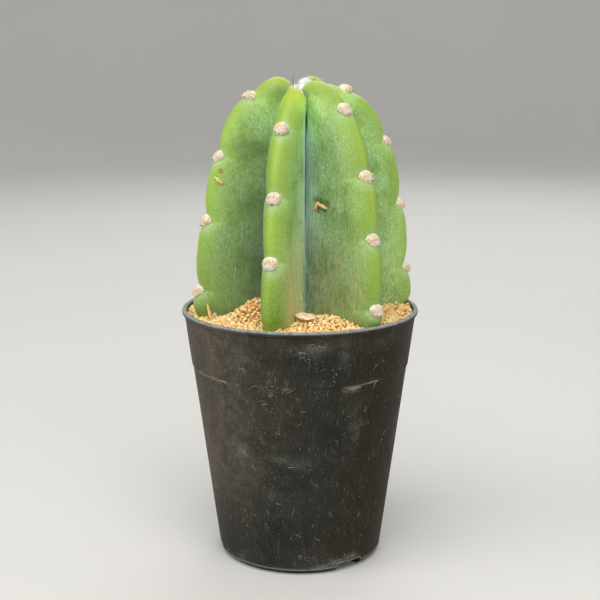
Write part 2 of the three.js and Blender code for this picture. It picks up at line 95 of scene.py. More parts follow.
FLANK_LOOKS = {  # of each rib's left and right flank, one number or one at the crest and one at the groove
    "bloom": ((0.6, 0.7), (0.5, (0.5, 1.4)), (1, 0.5), (0.7, 0.6), (0.7, 0.7), (0.7, 0.6)),
    "cork": ((0.3, 0.1), (0.1, 1.2), (1, 0.3), (0.5, 0.4), (0.5, 0.5), (0.4, 0.6)),
    # light_and_shade: painted light and shade, a factor on each flank's colour
    "light_and_shade": ((1.12, (1.12, 0.69)), (1, (1, 1.75)), ((1, 1.2), 1), ((1.15, 1.25), 1.1), (1, 1), (1, 1)),
    "dim": (
        (0, (0.2, 0.1)), (0, (-0.1, -0.25)), ((0.03, 0.33), 0.1), ((-0.1, -0.3), 0), (0.1, 0.1), (0.1, 0.1),
    ),
    "shade": ((0.3, 0.3), (0.4, 0.9), (0.3, 0.3), (0.3, 0.3), (0.3, 0.3), (0.3, 0.3)),
    "dash": ((0, 0), (0, 0), (0.6, 0), (1, 0.3), (0.3, 0.3), (0.2, 0.4)),
}
CREST = np.array([
    (0, 176.8), (9.6, 182.2), (19.6, 176.4), (27.9, 165.5), (33.4, 149), (36.8, 130),
    (39, 110), (39.9, 96), (38.2, 83), (30, 72.5), (15.5, 67.5), (0, 66.5),
], float)
GROOVE = np.array([
    (0, 176.8), (3.6, 175), (6.6, 169.5), (9, 160), (10.8, 146), (12.6, 128),
    (14.8, 109), (16.2, 96), (16, 84), (13.5, 75), (8, 69.5), (0, 66.5),
], float)
RIB_HALF_WIDTH = 5.2
CREST_ROUNDING = 7.5
CROWN_TAPER = 20
CROWN_SHIFT = 2.7
CROWN_SHIFT_DISTANCES = (18, 6)
HELD_X = (1, -5)
HELD_Y = (-9, -4)
AREOLE_SPACING = 25
BULGE = 2.4
BULGE_SKEW = 0.62
BULGE_START = 4
BULGE_HEIGHTS = (GRIT_LINE - 3, GRIT_LINE + 5)
DROP_HEIGHTS = (152, 178)
DROP_RADII = (0, 8)
REACH_HEIGHTS = (120, 176)
REACH_FOOT = 60
FLANK_FLARE = 2.2
AREOLE_SIZE = (2.6, 2.75, 1.95)
AREOLE_SEAT = 0.4


# Plain numerical helpers
def smoothstep(value, low, high):
    share = np.clip((np.asarray(value, float) - low) / (high - low), 0, 1)
    return share * share * (3 - 2 * share)


def mix(a, b, share):
    return a + (b - a) * share


def bell(distance, width):
    """1 at distance 0, falling off evenly to either side."""
    return np.exp(-((distance / width) ** 2))


def unit(vectors):
    return vectors / np.linalg.norm(vectors, axis=-1, keepdims=True)


def around_axis(radius, turn, height):
    """Points at a radius, an azimuth in radians and a height."""
    return np.stack(np.broadcast_arrays(radius * np.sin(turn), -radius * np.cos(turn), height), -1)


def lattice_noise(points, size, seed=0):
    """Smooth noise from -1 to 1 at points, with features of about that size."""
    scaled = np.asarray(points, float) / size + 31.7 * seed
    cell = np.floor(scaled).astype(np.int64)
    part = scaled - cell
    part = part * part * (3 - 2 * part)
    total = np.zeros(len(scaled))
    for corner in range(8):
        offset = np.array([corner & 1, corner >> 1 & 1, corner >> 2 & 1])
        key = (cell + offset) * np.array([73856093, 19349663, 83492791])
        mixed = key[:, 0] ^ key[:, 1] ^ key[:, 2] ^ (seed * 2654435761)
        mixed = (mixed ^ (mixed >> 13)) * 1274126177 & 0xFFFFFFFF
        value = ((mixed ^ (mixed >> 16)) & 0xFFFF) / 32767.5 - 1
        weight = np.prod(np.where(offset, part, 1 - part), axis=1)
        total += weight * value
    return total


def spline(points, t):
    """A uniform Catmull-Rom curve through points, at t from 0 to 1."""
    last = len(points) - 1
    place = np.clip(t, 0, 1) * last
    i = np.minimum(np.floor(place).astype(int), last)
    w = (place - i)[..., None]
    p0, p1, p2, p3 = (points[np.clip(i + k, 0, last)] for k in (-1, 0, 1, 2))
    v0 = (p2 - p0) / 2
    v1 = (p3 - p1) / 2
    cubic = (2 * p1 - 2 * p2 + v0 + v1) * w**3
    return cubic + (-3 * p1 + 3 * p2 - 2 * v0 - v1) * w**2 + v0 * w + p1


T_STEPS = np.linspace(0, 1, 6001)
CREST_STEPS = np.linalg.norm(np.diff(spline(CREST, T_STEPS), axis=0), axis=1)
CREST_DISTANCES = np.concatenate([[0], np.cumsum(CREST_STEPS)])
CREST_LENGTH = CREST_DISTANCES[-1]


def curve_place(along):
    return np.interp(along, CREST_DISTANCES, T_STEPS)


# Shape of the plant
def swelling(rib, along):
    """From 0 at the areoles' notches to 1 between them."""
    marks = (rib[5][0] - AREOLE_SPACING, *rib[5], rib[5][-1] + AREOLE_SPACING)
    turns = np.interp(along, marks, range(len(marks)))
    phase = turns - np.floor(turns)
    return 1 - np.abs(2 * phase**BULGE_SKEW - 1) ** 3


def crest_point(rib, along):
    """Distance from the axis and height of a rib's crest, at distances along it from the crown."""
    t = curve_place(along)
    point = spline(CREST, t)
    tangent = unit(spline(CREST, t + 1e-4) - spline(CREST, t - 1e-4))
    outward = np.stack([-tangent[..., 1], tangent[..., 0]], -1)
    bulge = BULGE * swelling(rib, along) * smoothstep(point[..., 1], *BULGE_HEIGHTS)
    bulge *= smoothstep(along, BULGE_START, rib[4])
    upper = smoothstep(point[..., 1], *DROP_HEIGHTS) * smoothstep(point[..., 0], *DROP_RADII)
    lower = 1 - smoothstep(point[..., 1], *REACH_HEIGHTS)
    point = point + outward * bulge[..., None]
    reach = rib[2] * lower * smoothstep(point[..., 1], REACH_FOOT, GRIT_LINE)
    return np.stack([point[..., 0] + reach, point[..., 1] - rib[3] * upper], -1)


def azimuth_of(rib, along):
    return rib[0] + rib[1] * (1 - smoothstep(along, *TWIST_DISTANCES))


def flesh_point(rib, neighbour, along, inward):
    """Points from the crest (inward 0) to the middle of the groove beside the neighbour (inward 1)."""
    along = np.asarray(along, float)
    crest = crest_point(rib, along)
    groove = spline(GROOVE, curve_place(along))
    azimuth = azimuth_of(rib, along)
    turn = (azimuth_of(neighbour, along) - azimuth + 540) % 360 - 180
    half_turn = np.radians(turn) / 2
    if {rib, neighbour} == {RIBS[1], RIBS[2]}:
        half_turn = half_turn + math.radians(GROOVE_TURN)
    ends = smoothstep(along, 0, CROWN_TAPER) * smoothstep(CREST_LENGTH - along, 0, CROWN_TAPER)
    radial = mix(crest[..., 0], groove[..., 0] * np.cos(half_turn), inward)
    height = mix(crest[..., 1], groove[..., 1], inward)
    rounding = np.hypot(crest[..., 0] - radial, crest[..., 1] - height) / CREST_ROUNDING
    low, high = RIB_WIDTHS.get(RIBS.index(rib), ((1, 1), (1, 1)))[int(np.mean(turn) > 0)]
    half_width = RIB_HALF_WIDTH * mix(low, high, smoothstep(crest[..., 1], *WIDTH_HEIGHTS))
    cap = np.sign(half_turn) * half_width * ends * np.sqrt(1 - (1 - np.minimum(rounding, 1)) ** 2)
    lateral = mix(cap, groove[..., 0] * np.sin(half_turn), inward**FLANK_FLARE)
    angle = np.radians(azimuth)
    lean = LEAN_X * smoothstep(height, GRIT_LINE, CREST[1][1])
    x = radial * np.sin(angle) + lateral * np.cos(angle) + AXIS_X + lean
    y = -radial * np.cos(angle) + lateral * np.sin(angle)
    held = smoothstep(x, *HELD_X) * smoothstep(y, *HELD_Y)
    x = x - CROWN_SHIFT * smoothstep(along, *CROWN_SHIFT_DISTANCES) * (1 - held)
    return np.stack([x, y, height], -1)


def areole_frames():
    """Each areole's seat and its axes across the rib, up along the crest and outward."""
    frames = []
    for rib in RIBS:
        for along in rib[5]:
            seat, above, below = (flesh_point(rib, rib, along + d, 0.0) for d in (0, -0.5, 0.5))
            up = unit(above - below)
            angle = math.radians(azimuth_of(rib, along) + 90)
            across = np.array([math.sin(angle), -math.cos(angle), 0])
            frames.append((seat, across, up, np.cross(across, up)))
    return frames


AREOLES = areole_frames()


# Meshes and objects
def make_object(name, points, faces, attributes=None):
    """A smooth mesh object from points in millimetres. Attributes are one number a point."""
    mesh = bpy.data.meshes.new(name)
    mesh.from_pydata((np.asarray(points) * MM).tolist(), [], [list(map(int, f)) for f in faces])
    for key, values in (attributes or {}).items():
        mark_points(mesh, key, values)
    mesh.shade_smooth()
    obj = bpy.data.objects.new(name, mesh)
    bpy.context.scene.collection.objects.link(obj)
    return obj


def mark_points(mesh, key, values):
    layer = mesh.attributes.new(key, "FLOAT", "POINT")
    layer.data.foreach_set("value", np.asarray(values, np.float32))


def finish_piece(obj, material, slot, *replaced):
    obj.data.materials.clear()
    obj.data.materials.append(material)
    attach(obj, "root")
    if replaced:
        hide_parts(*replaced)


def tree_of(obj):
    return BVHTree.FromObject(obj, bpy.context.evaluated_depsgraph_get())


def grid_faces(rows, columns, closed=True, flip=False):
    """Quads between rows of points that are stored one after another. A closed row is a ring."""
    faces = []
    for row in range(rows - 1):
        for k in range(columns if closed else columns - 1):
            a, b = row * columns + k, row * columns + (k + 1) % columns
            c, d = b + columns, a + columns
            faces.append((a, d, c, b) if flip else (a, b, c, d))
    return faces


def ring_faces(rings, around, flip=False):
    """Faces between rings of points, closed by two points stored after the rings."""
    faces = grid_faces(rings, around, flip=flip)
    first, last, rim = rings * around, rings * around + 1, (rings - 1) * around
    for k in range(around):
        n = (k + 1) % around
        a, b = (k, n) if flip else (n, k)
        faces += [(first, a, b), (last, rim + b, rim + a)]
    return faces


def unit_ball(level):
    """Points and triangles of an even ball of radius 1."""
    ball = bmesh.new()
    bmesh.ops.create_icosphere(ball, subdivisions=level, radius=1)
    ball.verts.ensure_lookup_table()
    points = np.array([v.co for v in ball.verts])
    faces = np.array([[v.index for v in f.verts] for f in ball.faces])
    ball.free()
    return points, faces


class Heap:
    """Points, faces and attributes of many small closed shapes, gathered into one mesh."""

    def __init__(self):
        self.points, self.faces, self.values, self.count = [], [], {}, 0

    def add(self, points, faces, **values):
        self.points.append(points)
        self.faces += [[i + self.count for i in f] for f in np.asarray(faces).tolist()]
        for key, value in values.items():
            self.values.setdefault(key, []).append(np.broadcast_to(value, len(points)))
        self.count += len(points)

    def make(self, name):
        values = {key: np.concatenate(parts) for key, parts in self.values.items()}
        return make_object(name, np.concatenate(self.points), self.faces, values)


def tube(path, radii, sides):
    """Points and triangles of a closed tube along a path, its ends drawn to a point."""
    path = np.asarray(path, float)
    tangents = unit(np.gradient(path, axis=0))
    first = unit(np.cross(tangents, (0.31, 0.52, 0.79)))
    second = np.cross(tangents, first)
    angles = (np.arange(sides) * 2 * math.pi / sides)[:, None]
    spokes = first[:, None] * np.cos(angles) + second[:, None] * np.sin(angles)
    rings = path[:, None] + spokes * np.asarray(radii, float)[:, None, None]
    points = np.concatenate([rings.reshape(-1, 3), path[:1], path[-1:]])
    faces = ring_faces(len(path), sides)
    return points, [(f[0], f[k], f[k + 1]) for f in faces for k in range(1, len(f) - 1)]


def surface_normals(points, quads):
    """Outward unit normals at the points of a mesh of quads, or zero at a point without one."""
    quads = np.array(quads)
    a, b, c, d = (points[quads[:, k]] for k in range(4))
    face_normals = np.cross(c - a, d - b)
    total = np.zeros_like(points)
    for k in range(4):
        np.add.at(total, quads[:, k], face_normals)
    return total / np.maximum(np.linalg.norm(total, axis=1, keepdims=True), 1e-12)


# Node materials
def rgb(red, green, blue):
    """A linear colour from the usual 0 to 255 values."""
    channels = [c / 255 for c in (red, green, blue)]
    linear = [c / 12.92 if c <= 0.04045 else ((c + 0.055) / 1.055) ** 2.4 for c in channels]
    return (*linear, 1)


class Surface:
    """A node material. A value is a number, a colour as three numbers from 0 to 255, or a node's output."""

    def __init__(self, name, **shader_values):
        self.material = bpy.data.materials.new(name)
        self.material.use_nodes = True
        self.tree = self.material.node_tree
        self.shader = self.tree.nodes["Principled BSDF"]
        self.colour = None
        self.normal = None
        for key, value in shader_values.items():
            self.shader.inputs[key.replace("_", " ")].default_value = value

    def put(self, value, socket):
        if isinstance(value, bpy.types.NodeSocket):
            self.tree.links.new(value, socket)
        else:
            socket.default_value = rgb(*value) if socket.type == "RGBA" else value

    def node(self, kind, inputs, output=0, **settings):
        node = self.tree.nodes.new("ShaderNode" + kind)
        for key, value in settings.items():
            setattr(node, key, value)
        for key, value in inputs.items():
            self.put(value, node.inputs[key])
        return node.outputs[output]

    def place(self, scale=(1, 1, 1), turn=0):
        """Object coordinates in millimetres, turned about Y by that many degrees, times a scale."""
        where = self.node("TexCoord", {}, output="Object")
        if turn:
            where = self.node("Mapping", {"Vector": where, "Rotation": (0, math.radians(turn), 0)})
        factors = tuple(s / MM for s in scale)
        return self.node("VectorMath", {0: where, 1: factors}, operation="MULTIPLY")

    def height(self):
        """Height above the ground in millimetres."""
        return self.node("SeparateXYZ", {0: self.place()}, output=2)

    def attribute(self, name):
        return self.node("Attribute", {}, output="Fac", attribute_name=name)

    def noise(self, scale, detail=3, roughness=0.5, distortion=0, turn=0):
        """A noise of one scale, or of three, with features drawn out along the axis of a small one."""
        values = {"Detail": detail, "Roughness": roughness, "Distortion": distortion}
        if isinstance(scale, tuple):
            values |= {"Vector": self.place(scale, turn), "Scale": 1}
        else:
            values |= {"Vector": self.place(), "Scale": scale}
        return self.node("TexNoise", values, output="Fac")

    def math(self, operation, *values):
        result = values[0]
        for value in values[1:]:
            result = self.node("Math", {0: result, 1: value}, operation=operation)
        return result

    def plus(self, *values):
        return self.math("ADD", *values)

    def times(self, *values):
        return self.math("MULTIPLY", *values)

    def minus(self, a, b):
        return self.math("SUBTRACT", a, b)

    def span(self, value, low, high, to_low=0, to_high=1):
        """A smooth step from to_low at low to to_high at high."""
        values = {"Value": value, "From Min": low, "From Max": high, "To Min": to_low, "To Max": to_high}
        return self.node("MapRange", values, interpolation_type="SMOOTHSTEP")

    def ramp(self, value, stops):
        node = self.tree.nodes.new("ShaderNodeValToRGB")
        self.put(value, node.inputs[0])
        elements = node.color_ramp.elements
        while len(elements) < len(stops):
            elements.new(0.5)
        for element, (position, colour) in zip(elements, stops):
            element.position = position
            element.color = rgb(*colour)
        return node.outputs[0]

    def blend(self, share, a, b, mode="MIX"):
        return self.node("Mix", {0: share, 6: a, 7: b}, output=2, data_type="RGBA", blend_type=mode)

    def coat(self, colour, *shares):
        """Lays a colour over what is there, by the product of the shares."""
        self.colour = self.blend(self.times(*shares), self.colour, colour)

    def relief(self, height, distance):
        """Lays bumps of that many millimetres over those that are there."""
        values = {"Height": height, "Distance": distance * MM, "Strength": 1}
        if self.normal is not None:
            values["Normal"] = self.normal
        self.normal = self.node("Bump", values)

    def finish(self, roughness):
        self.put(self.colour, self.shader.inputs["Base Color"])
        self.put(roughness, self.shader.inputs["Roughness"])
        if self.normal is not None:
            self.put(self.normal, self.shader.inputs["Normal"])
        return self.material


def flesh_material():
    s = Surface(
        "flesh", IOR=1.4, Subsurface_Weight=0.06, Subsurface_Scale=0.001, Subsurface_Radius=(0.5, 1, 0.25),
    )
    names = ("edge", "valley", "bloom", "cork", "dash", "blush")
    edge, valley, bloom, cork, dashes, blush = map(s.attribute, names)
    height = s.height()
    patches = s.noise(0.085, detail=6, roughness=0.6)
    mottle = s.noise(0.5, detail=6, roughness=0.7)
    speck = s.noise((1.3, 1.3, 0.75), detail=4, roughness=0.75)
    streak = s.noise((1.5, 1.5, 0.09), detail=5, roughness=0.65)
    fleck = s.noise((1.5, 1.5, 0.16), detail=5, roughness=0.7)
    slant = s.noise((1.1, 1.1, 0.2), detail=3, roughness=0.6, turn=-38)
    grain = s.noise(2.6, detail=4, roughness=0.7)

    # From the crest to the groove
    wander = s.times(s.minus(mottle, 0.5), 9, s.span(edge, 1, 8))
    s.colour = s.ramp(s.math("DIVIDE", s.plus(edge, wander), 24), [
        (0, (150, 181, 68)), (0.08, (136, 169, 56)), (0.25, (130, 165, 64)),
        (0.6, (122, 158, 80)), (0.85, (120, 152, 92)), (1, (116, 146, 104)),
    ])
    inner = s.span(edge, 0.5, 11)
    s.coat((84, 118, 54), s.span(patches, 0.46, 0.66), inner, s.span(mottle, 0.35, 0.6, 0.5, 1), 0.75)
    haze = s.times(inner, bloom, s.span(speck, 0.42, 0.58, 0.05, 1), s.span(patches, 0.62, 0.4, 0.3, 1))
    haze = s.times(haze, s.span(streak, 0.38, 0.6, 0.6, 1.15), s.span(height, 98, 128, 0.6, 0.9))
    s.coat((166, 194, 156), s.math("MINIMUM", s.times(haze, s.span(height, 182, 170, 0.5, 1)), 0.9))
    # Pale bluish bloom beside the grooves, partly painted light in them, stronger higher up
    near = s.times(s.span(valley, 9, 0.5), s.span(height, 104, 140, 0.35, 1), 0.95)
    s.coat((170, 188, 192), near, s.span(streak, 0.4, 0.56, 0.2, 1), s.span(mottle, 0.35, 0.6, 0.6, 1))
    bottom = s.times(s.span(valley, 4, 0.5), s.span(height, 168, 135))
    s.coat((130, 156, 140), bottom, s.span(streak, 0.38, 0.6, 0.9, 0.3))
    # Painted shade deep in the grooves low down
    sunk = s.times(s.span(valley, 7.5, 1), s.span(height, 134, 115))
    s.coat((72, 100, 84), sunk, s.span(streak, 0.38, 0.58, 0.95, 0.2))

    # Cork, pale dashes and shade low down
    bark = s.times(s.span(cork, 0.9, 1.2), s.span(height, 138, 104), s.span(edge, 3, 9))
    bark = s.times(bark, s.span(valley, 2, 7))
    s.coat((158, 154, 104), bark, s.span(streak, 0.36, 0.6, 0.3, 0.9))
    low_cork = s.times(cork, 0.75, s.span(height, 142, 108))
    corky = s.times(low_cork, s.span(fleck, 0.5, 0.62), s.span(edge, 2.5, 6), s.span(valley, 0.5, 3))
    s.coat(s.blend(bark, (196, 192, 136), (204, 182, 132)), corky)
    dash = s.times(dashes, s.span(slant, 0.56, 0.63), s.span(height, 128, 112), s.span(edge, 3, 6))
    s.coat((184, 202, 138), dash, 0.7)
    shade = s.times(s.attribute("shade"), s.span(height, 126, 100), s.span(edge, 11, 3))
    s.coat((96, 126, 34), shade, s.span(mottle, 0.35, 0.6, 0.75, 1))

    # Marks in their own places, then painted shade in the grooves
    s.coat((62, 88, 34), s.attribute("stain"), s.span(mottle, 0.36, 0.54, 0.45, 1), 0.9)
    s.coat((168, 192, 152), s.attribute("halo"), s.span(mottle, 0.35, 0.6, 0.15, 0.5))
    s.coat((176, 198, 78), s.attribute("young"), 0.7)
    s.coat((166, 184, 36), blush, s.span(mottle, 0.4, 0.6, 0.5, 1))
    s.coat((206, 158, 50), blush, s.span(height, 176, 179), s.span(mottle, 0.42, 0.56), 0.45)
    s.coat((196, 214, 156), s.span(grain, 0.52, 0.68, 0, 0.4))
    s.coat((76, 104, 44), s.span(grain, 0.48, 0.3, 0, 0.45))
    # Painted shade: a dark line along the bottom of the grooves, and a dark band beside them high up towards
    # the crown
    groove_shade = s.times(s.span(valley, 0.5, 0.15), s.span(height, 118, 140))
    s.coat((26, 42, 34), groove_shade, s.span(mottle, 0.36, 0.56, 0.25, 1))
    s.coat((36, 58, 36), s.span(valley, 2.8, 1.2), s.span(height, 162, 167), 0.85)

    # Painted light and shade: a factor on each flank's colour, raised in the valleys below the crown where
    # they lie in shade, changed low down for each flank, and lowered at the tips
    lift = s.times(s.span(height, 156, 169), s.span(height, 179, 173, 0.1, 0.65))
    lift = s.times(s.plus(lift, s.span(height, 122, 140, 0, 0.12)), s.span(valley, 19, 5))
    low_down = s.times(s.attribute("dim"), s.span(height, 140, 116))
    light_and_shade = s.times(s.minus(s.plus(s.attribute("light_and_shade"), lift), low_down), s.span(height, 182, 171, 0.83, 1))
    light_and_shade = s.node("CombineXYZ", {key: light_and_shade for key in "XYZ"})
    s.colour = s.blend(1, s.colour, light_and_shade, "MULTIPLY")

    s.relief(grain, 0.07)
    s.relief(s.plus(streak, speck), 0.12)
    s.relief(s.plus(corky, dash, mottle), 0.14)
    return s.finish(s.plus(s.span(edge, 0, 9, 0.35, 0.55), s.span(mottle, 0.35, 0.65, -0.05, 0.07)))


def wool_material(name, light, shadow, tint, sheen):
    s = Surface(
        name, Sheen_Weight=sheen, Sheen_Roughness=0.5,
        Subsurface_Weight=0.15, Subsurface_Scale=0.0008, Subsurface_Radius=(1, 0.8, 0.6),
    )
    upper = s.attribute("upper")
    fibres = s.noise(5, detail=4, roughness=0.7, distortion=1.5)
    spots = s.noise(1.7, detail=4, roughness=0.65, distortion=1)
    # Painted shade: the shadow colour in the creases between lumps, the light colour on the lumps
    s.colour = s.blend(s.span(s.attribute("rise"), 0.05, 0.75), shadow, light)
    s.coat(tint, s.span(spots, 0.46, 0.6, 0, 0.8))
    s.coat(tint, s.span(upper, 0.35, -0.4, 0, 0.55))
    # Painted highlight: the light colour laid over the top
    s.coat(light, s.span(upper, 0.05, 0.7), s.span(spots, 0.66, 0.48), 0.95)
    s.coat((232, 224, 214), s.span(upper, -0.5, -0.8, 0, 0.65))
    # Painted shade: the shadow colour in the gaps between fibres
    s.coat(shadow, s.span(fibres, 0.5, 0.32, 0, 0.3))
    s.relief(fibres, 0.14)
    return s.finish(s.span(fibres, 0.3, 0.7, 0.95, 0.8))


def grit_material(name, tones, dust):
    s = Surface(name)
    pores = s.noise(2.6, detail=5, roughness=0.7)
    fine = s.noise(9, detail=3, roughness=0.7)
    s.colour = s.ramp(s.plus(s.attribute("tint"), s.times(s.minus(pores, 0.5), 0.55)), tones)
    s.coat(dust, s.span(fine, 0.6, 0.4, 0, 0.3))
    s.relief(pores, 0.3)
    s.relief(fine, 0.06)
    return s.finish(s.span(pores, 0.3, 0.7, 0.96, 0.82))


def pot_material():
    s = Surface("pot_plastic", IOR=1.46, Specular_IOR_Level=0.1)
    dust = s.attribute("dust")
    clouds = s.noise(0.03, detail=4, roughness=0.55)
    smudge = s.noise(0.12, detail=6, roughness=0.7, distortion=0.8)
    streak = s.noise((0.9, 0.9, 0.012), detail=5, roughness=0.7)
    hair = s.noise((2.6, 2.6, 0.03), detail=3, roughness=0.6)
    rub = s.noise((0.35, 0.35, 2.2), detail=5, roughness=0.7)
    wear = s.noise(0.5, detail=5, roughness=0.7)
    grain = s.noise(2.2, detail=5, roughness=0.8)
    s.colour = s.ramp(clouds, [(0.35, (31, 32, 28)), (0.52, (38, 38, 33)), (0.68, (42, 41, 34))])
    # Painted shade, dark and warm, on the right side of the pot
    s.coat((34, 27, 12), s.attribute("right_shade"), 0.8)
    # Dust film and brown dust, on the left side partly a painted reflection
    film = s.times(s.span(smudge, 0.42, 0.7), s.span(grain, 0.4, 0.62), s.span(streak, 0.35, 0.62, 0.5, 1))
    film = s.times(film, s.plus(s.times(dust, 0.3), 0.1))
    s.coat((134, 132, 124), film)
    s.coat((114, 102, 88), dust, s.span(smudge, 0.35, 0.6, 0.5, 1), s.span(grain, 0.42, 0.6, 0.6, 1), 0.5)
    s.coat((120, 120, 108), s.span(grain, 0.5, 0.66, 0, 0.16))
    lines = s.times(s.span(hair, 0.56, 0.68), s.span(streak, 0.4, 0.56), 0.3)
    s.coat((138, 138, 128), lines, s.span(smudge, 0.4, 0.55, 0.3, 1))
    rubbed = s.times(s.attribute("scuff"), s.span(rub, 0.4, 0.58), 0.85)
    s.coat((170, 166, 148), rubbed)
    smear = s.times(s.attribute("smear"), s.span(grain, 0.4, 0.6, 0.15, 1), 0.6)
    s.coat((140, 142, 134), smear, s.span(smudge, 0.35, 0.55, 0.3, 1))
    # Wear and painted sheen: a light line on top of the rim bead, pale notch edges and the foot's corner
    s.coat((152, 156, 156), s.attribute("wear_and_sheen"), s.span(wear, 0.34, 0.54, 0.45, 1))
    s.relief(s.plus(streak, s.times(hair, 0.6)), 0.05)
    s.relief(s.plus(grain, rubbed), 0.03)
    return s.finish(s.plus(s.span(smudge, 0.4, 0.62, 0.5, 0.62), s.times(film, 0.3)))


def dry_material(name, light, dark, scale):
    """Dry plant matter with fibres."""
    s = Surface(name, IOR=1.4)
    fibres = s.noise(scale, detail=4, roughness=0.65)
    s.colour = s.blend(s.span(fibres, 0.35, 0.65), dark, light)
    s.coat(dark, s.span(s.noise(0.5), 0.5, 0.7, 0, 0.5))
    s.relief(fibres, 0.15)
    return s.finish(s.span(fibres, 0.3, 0.7, 0.7, 0.55))


def porous_material(name, scale, detail, contrast, brown, pale, roughness, bump):
    """Brown where the tint is 0 and pale where it is 1, each between two colours."""
    s = Surface(name)
    pores = s.noise(scale, detail=detail, roughness=0.7)
    share = s.span(pores, 0.5 - contrast, 0.5 + contrast)
    s.colour = s.blend(s.attribute("tint"), s.blend(share, *brown), s.blend(share, *pale))
    s.relief(pores, bump)
    return s.finish(s.span(pores, 0.3, 0.7, *roughness))


def lint_material():
    s = Surface("lint")
    fibres = s.noise(3)
    s.colour = s.blend(s.attribute("tint"), (132, 126, 108), (206, 206, 196))
    s.coat((150, 144, 128), s.span(fibres, 0.4, 0.65, 0, 0.4))
    s.relief(fibres, 0.05)
    return s.finish(s.span(fibres, 0.3, 0.7, 0.9, 0.7))


def mix_material():
    s = Surface("potting_mix")
    cells = {"Vector": s.place(), "Scale": 0.35}
    lumps = s.node("TexVoronoi", cells, output="Distance", feature="SMOOTH_F1")
    fibres = s.noise(0.8, detail=5, roughness=0.7)
    s.colour = s.blend(s.span(lumps, 0.1, 0.7), (120, 84, 54), (52, 34, 22))
    s.coat((160, 118, 74), s.span(fibres, 0.5, 0.7, 0, 0.6))
    s.relief(fibres, 0.3)
    s.relief(lumps, 1.2)
    return s.finish(s.span(fibres, 0.3, 0.7, 0.98, 0.85))


def net_material():
    s = Surface("net_plastic", IOR=1.49)
    grain = s.noise(1.6, detail=4, roughness=0.7)
    s.colour = s.blend(s.span(grain, 0.4, 0.7), (26, 26, 26), (58, 56, 52))
    s.relief(grain, 0.08)
    return s.finish(s.span(grain, 0.3, 0.7, 0.5, 0.75))


def floor_material():
    s = Surface("floor")
    s.colour = s.blend(s.noise(0.004, detail=2), (202, 200, 196), (208, 206, 202))
    return s.finish(0.9)


# Camera
FOCAL_PIXELS = 1201
IMAGE_SIDE = 600
CAMERA_DOWN = 11.87
camera_data = bpy.data.cameras.new("camera")
camera_data.sensor_width = 36
camera_data.lens = camera_data.sensor_width * FOCAL_PIXELS / IMAGE_SIDE
camera_data.clip_start = 0.01
camera = bpy.data.objects.new("camera", camera_data)
camera.location = (0, -0.450, 0.1934)
camera.rotation_euler = (math.radians(90 - CAMERA_DOWN), 0, 0)
bpy.context.scene.collection.objects.link(camera)
bpy.context.scene.camera = camera
bpy.context.view_layer.update()


def sight(x, y):
    """Start and direction of the line of sight through a pixel of the picture."""
    half = IMAGE_SIDE / 2
    towards = Vector(((x - half) / FOCAL_PIXELS, (half - y) / FOCAL_PIXELS, -1))
    return camera.location.copy(), (camera.matrix_world.to_3x3() @ towards).normalized()


# The plant's flesh
FLANK_POINTS = 26
FLANK_POWER = 1.8
LAST_FLANK_POINT = 0.975
FIRST_ROW = 0.35
FINE_ROW = 0.55
BURIED_ROW = 3
FINE_DISTANCE = 60
CREASE = 1.6
FLESH_RELIEF = ((0.16, 11, 1), (0.05, 3.2, 2))  # depth, size and seed of each layer of noise
DIMPLE_DEPTH = 0.45
DIMPLE_RADIUS = 3.6
DIMPLE_REACH = 12
HALO_RADII = (6, 3)
HALO_SHIFT = 1.2
BLUSH_DISTANCE = 18
BLUSH_RADIUS = 4.6
RELIEF_HEIGHTS = (GRIT_LINE - 4, GRIT_LINE + 3)
RELIEF_DISTANCES = (3, 14)
CREASE_HEIGHTS = (118, 150)
CREASE_DISTANCES = (6, 14)
YOUNG_DISTANCES = (26, 6)
YOUNG_EDGES = (9, 2)


def rough(points, layers):
    return sum(depth * lattice_noise(points, size, seed) for depth, size, seed in layers)


def flesh_rows():
    """Distances along the crest at which the flesh has a row of points."""
    rows = [FIRST_ROW]
    while rows[-1] < CREST_LENGTH - BURIED_ROW / 2:
        height = spline(CREST, curve_place(np.array(rows[-1])))[1]
        shown = height > GRIT_LINE - 6 or rows[-1] < FINE_DISTANCE
        rows.append(rows[-1] + (FINE_ROW if shown else BURIED_ROW))
    return np.array(rows[:-1])


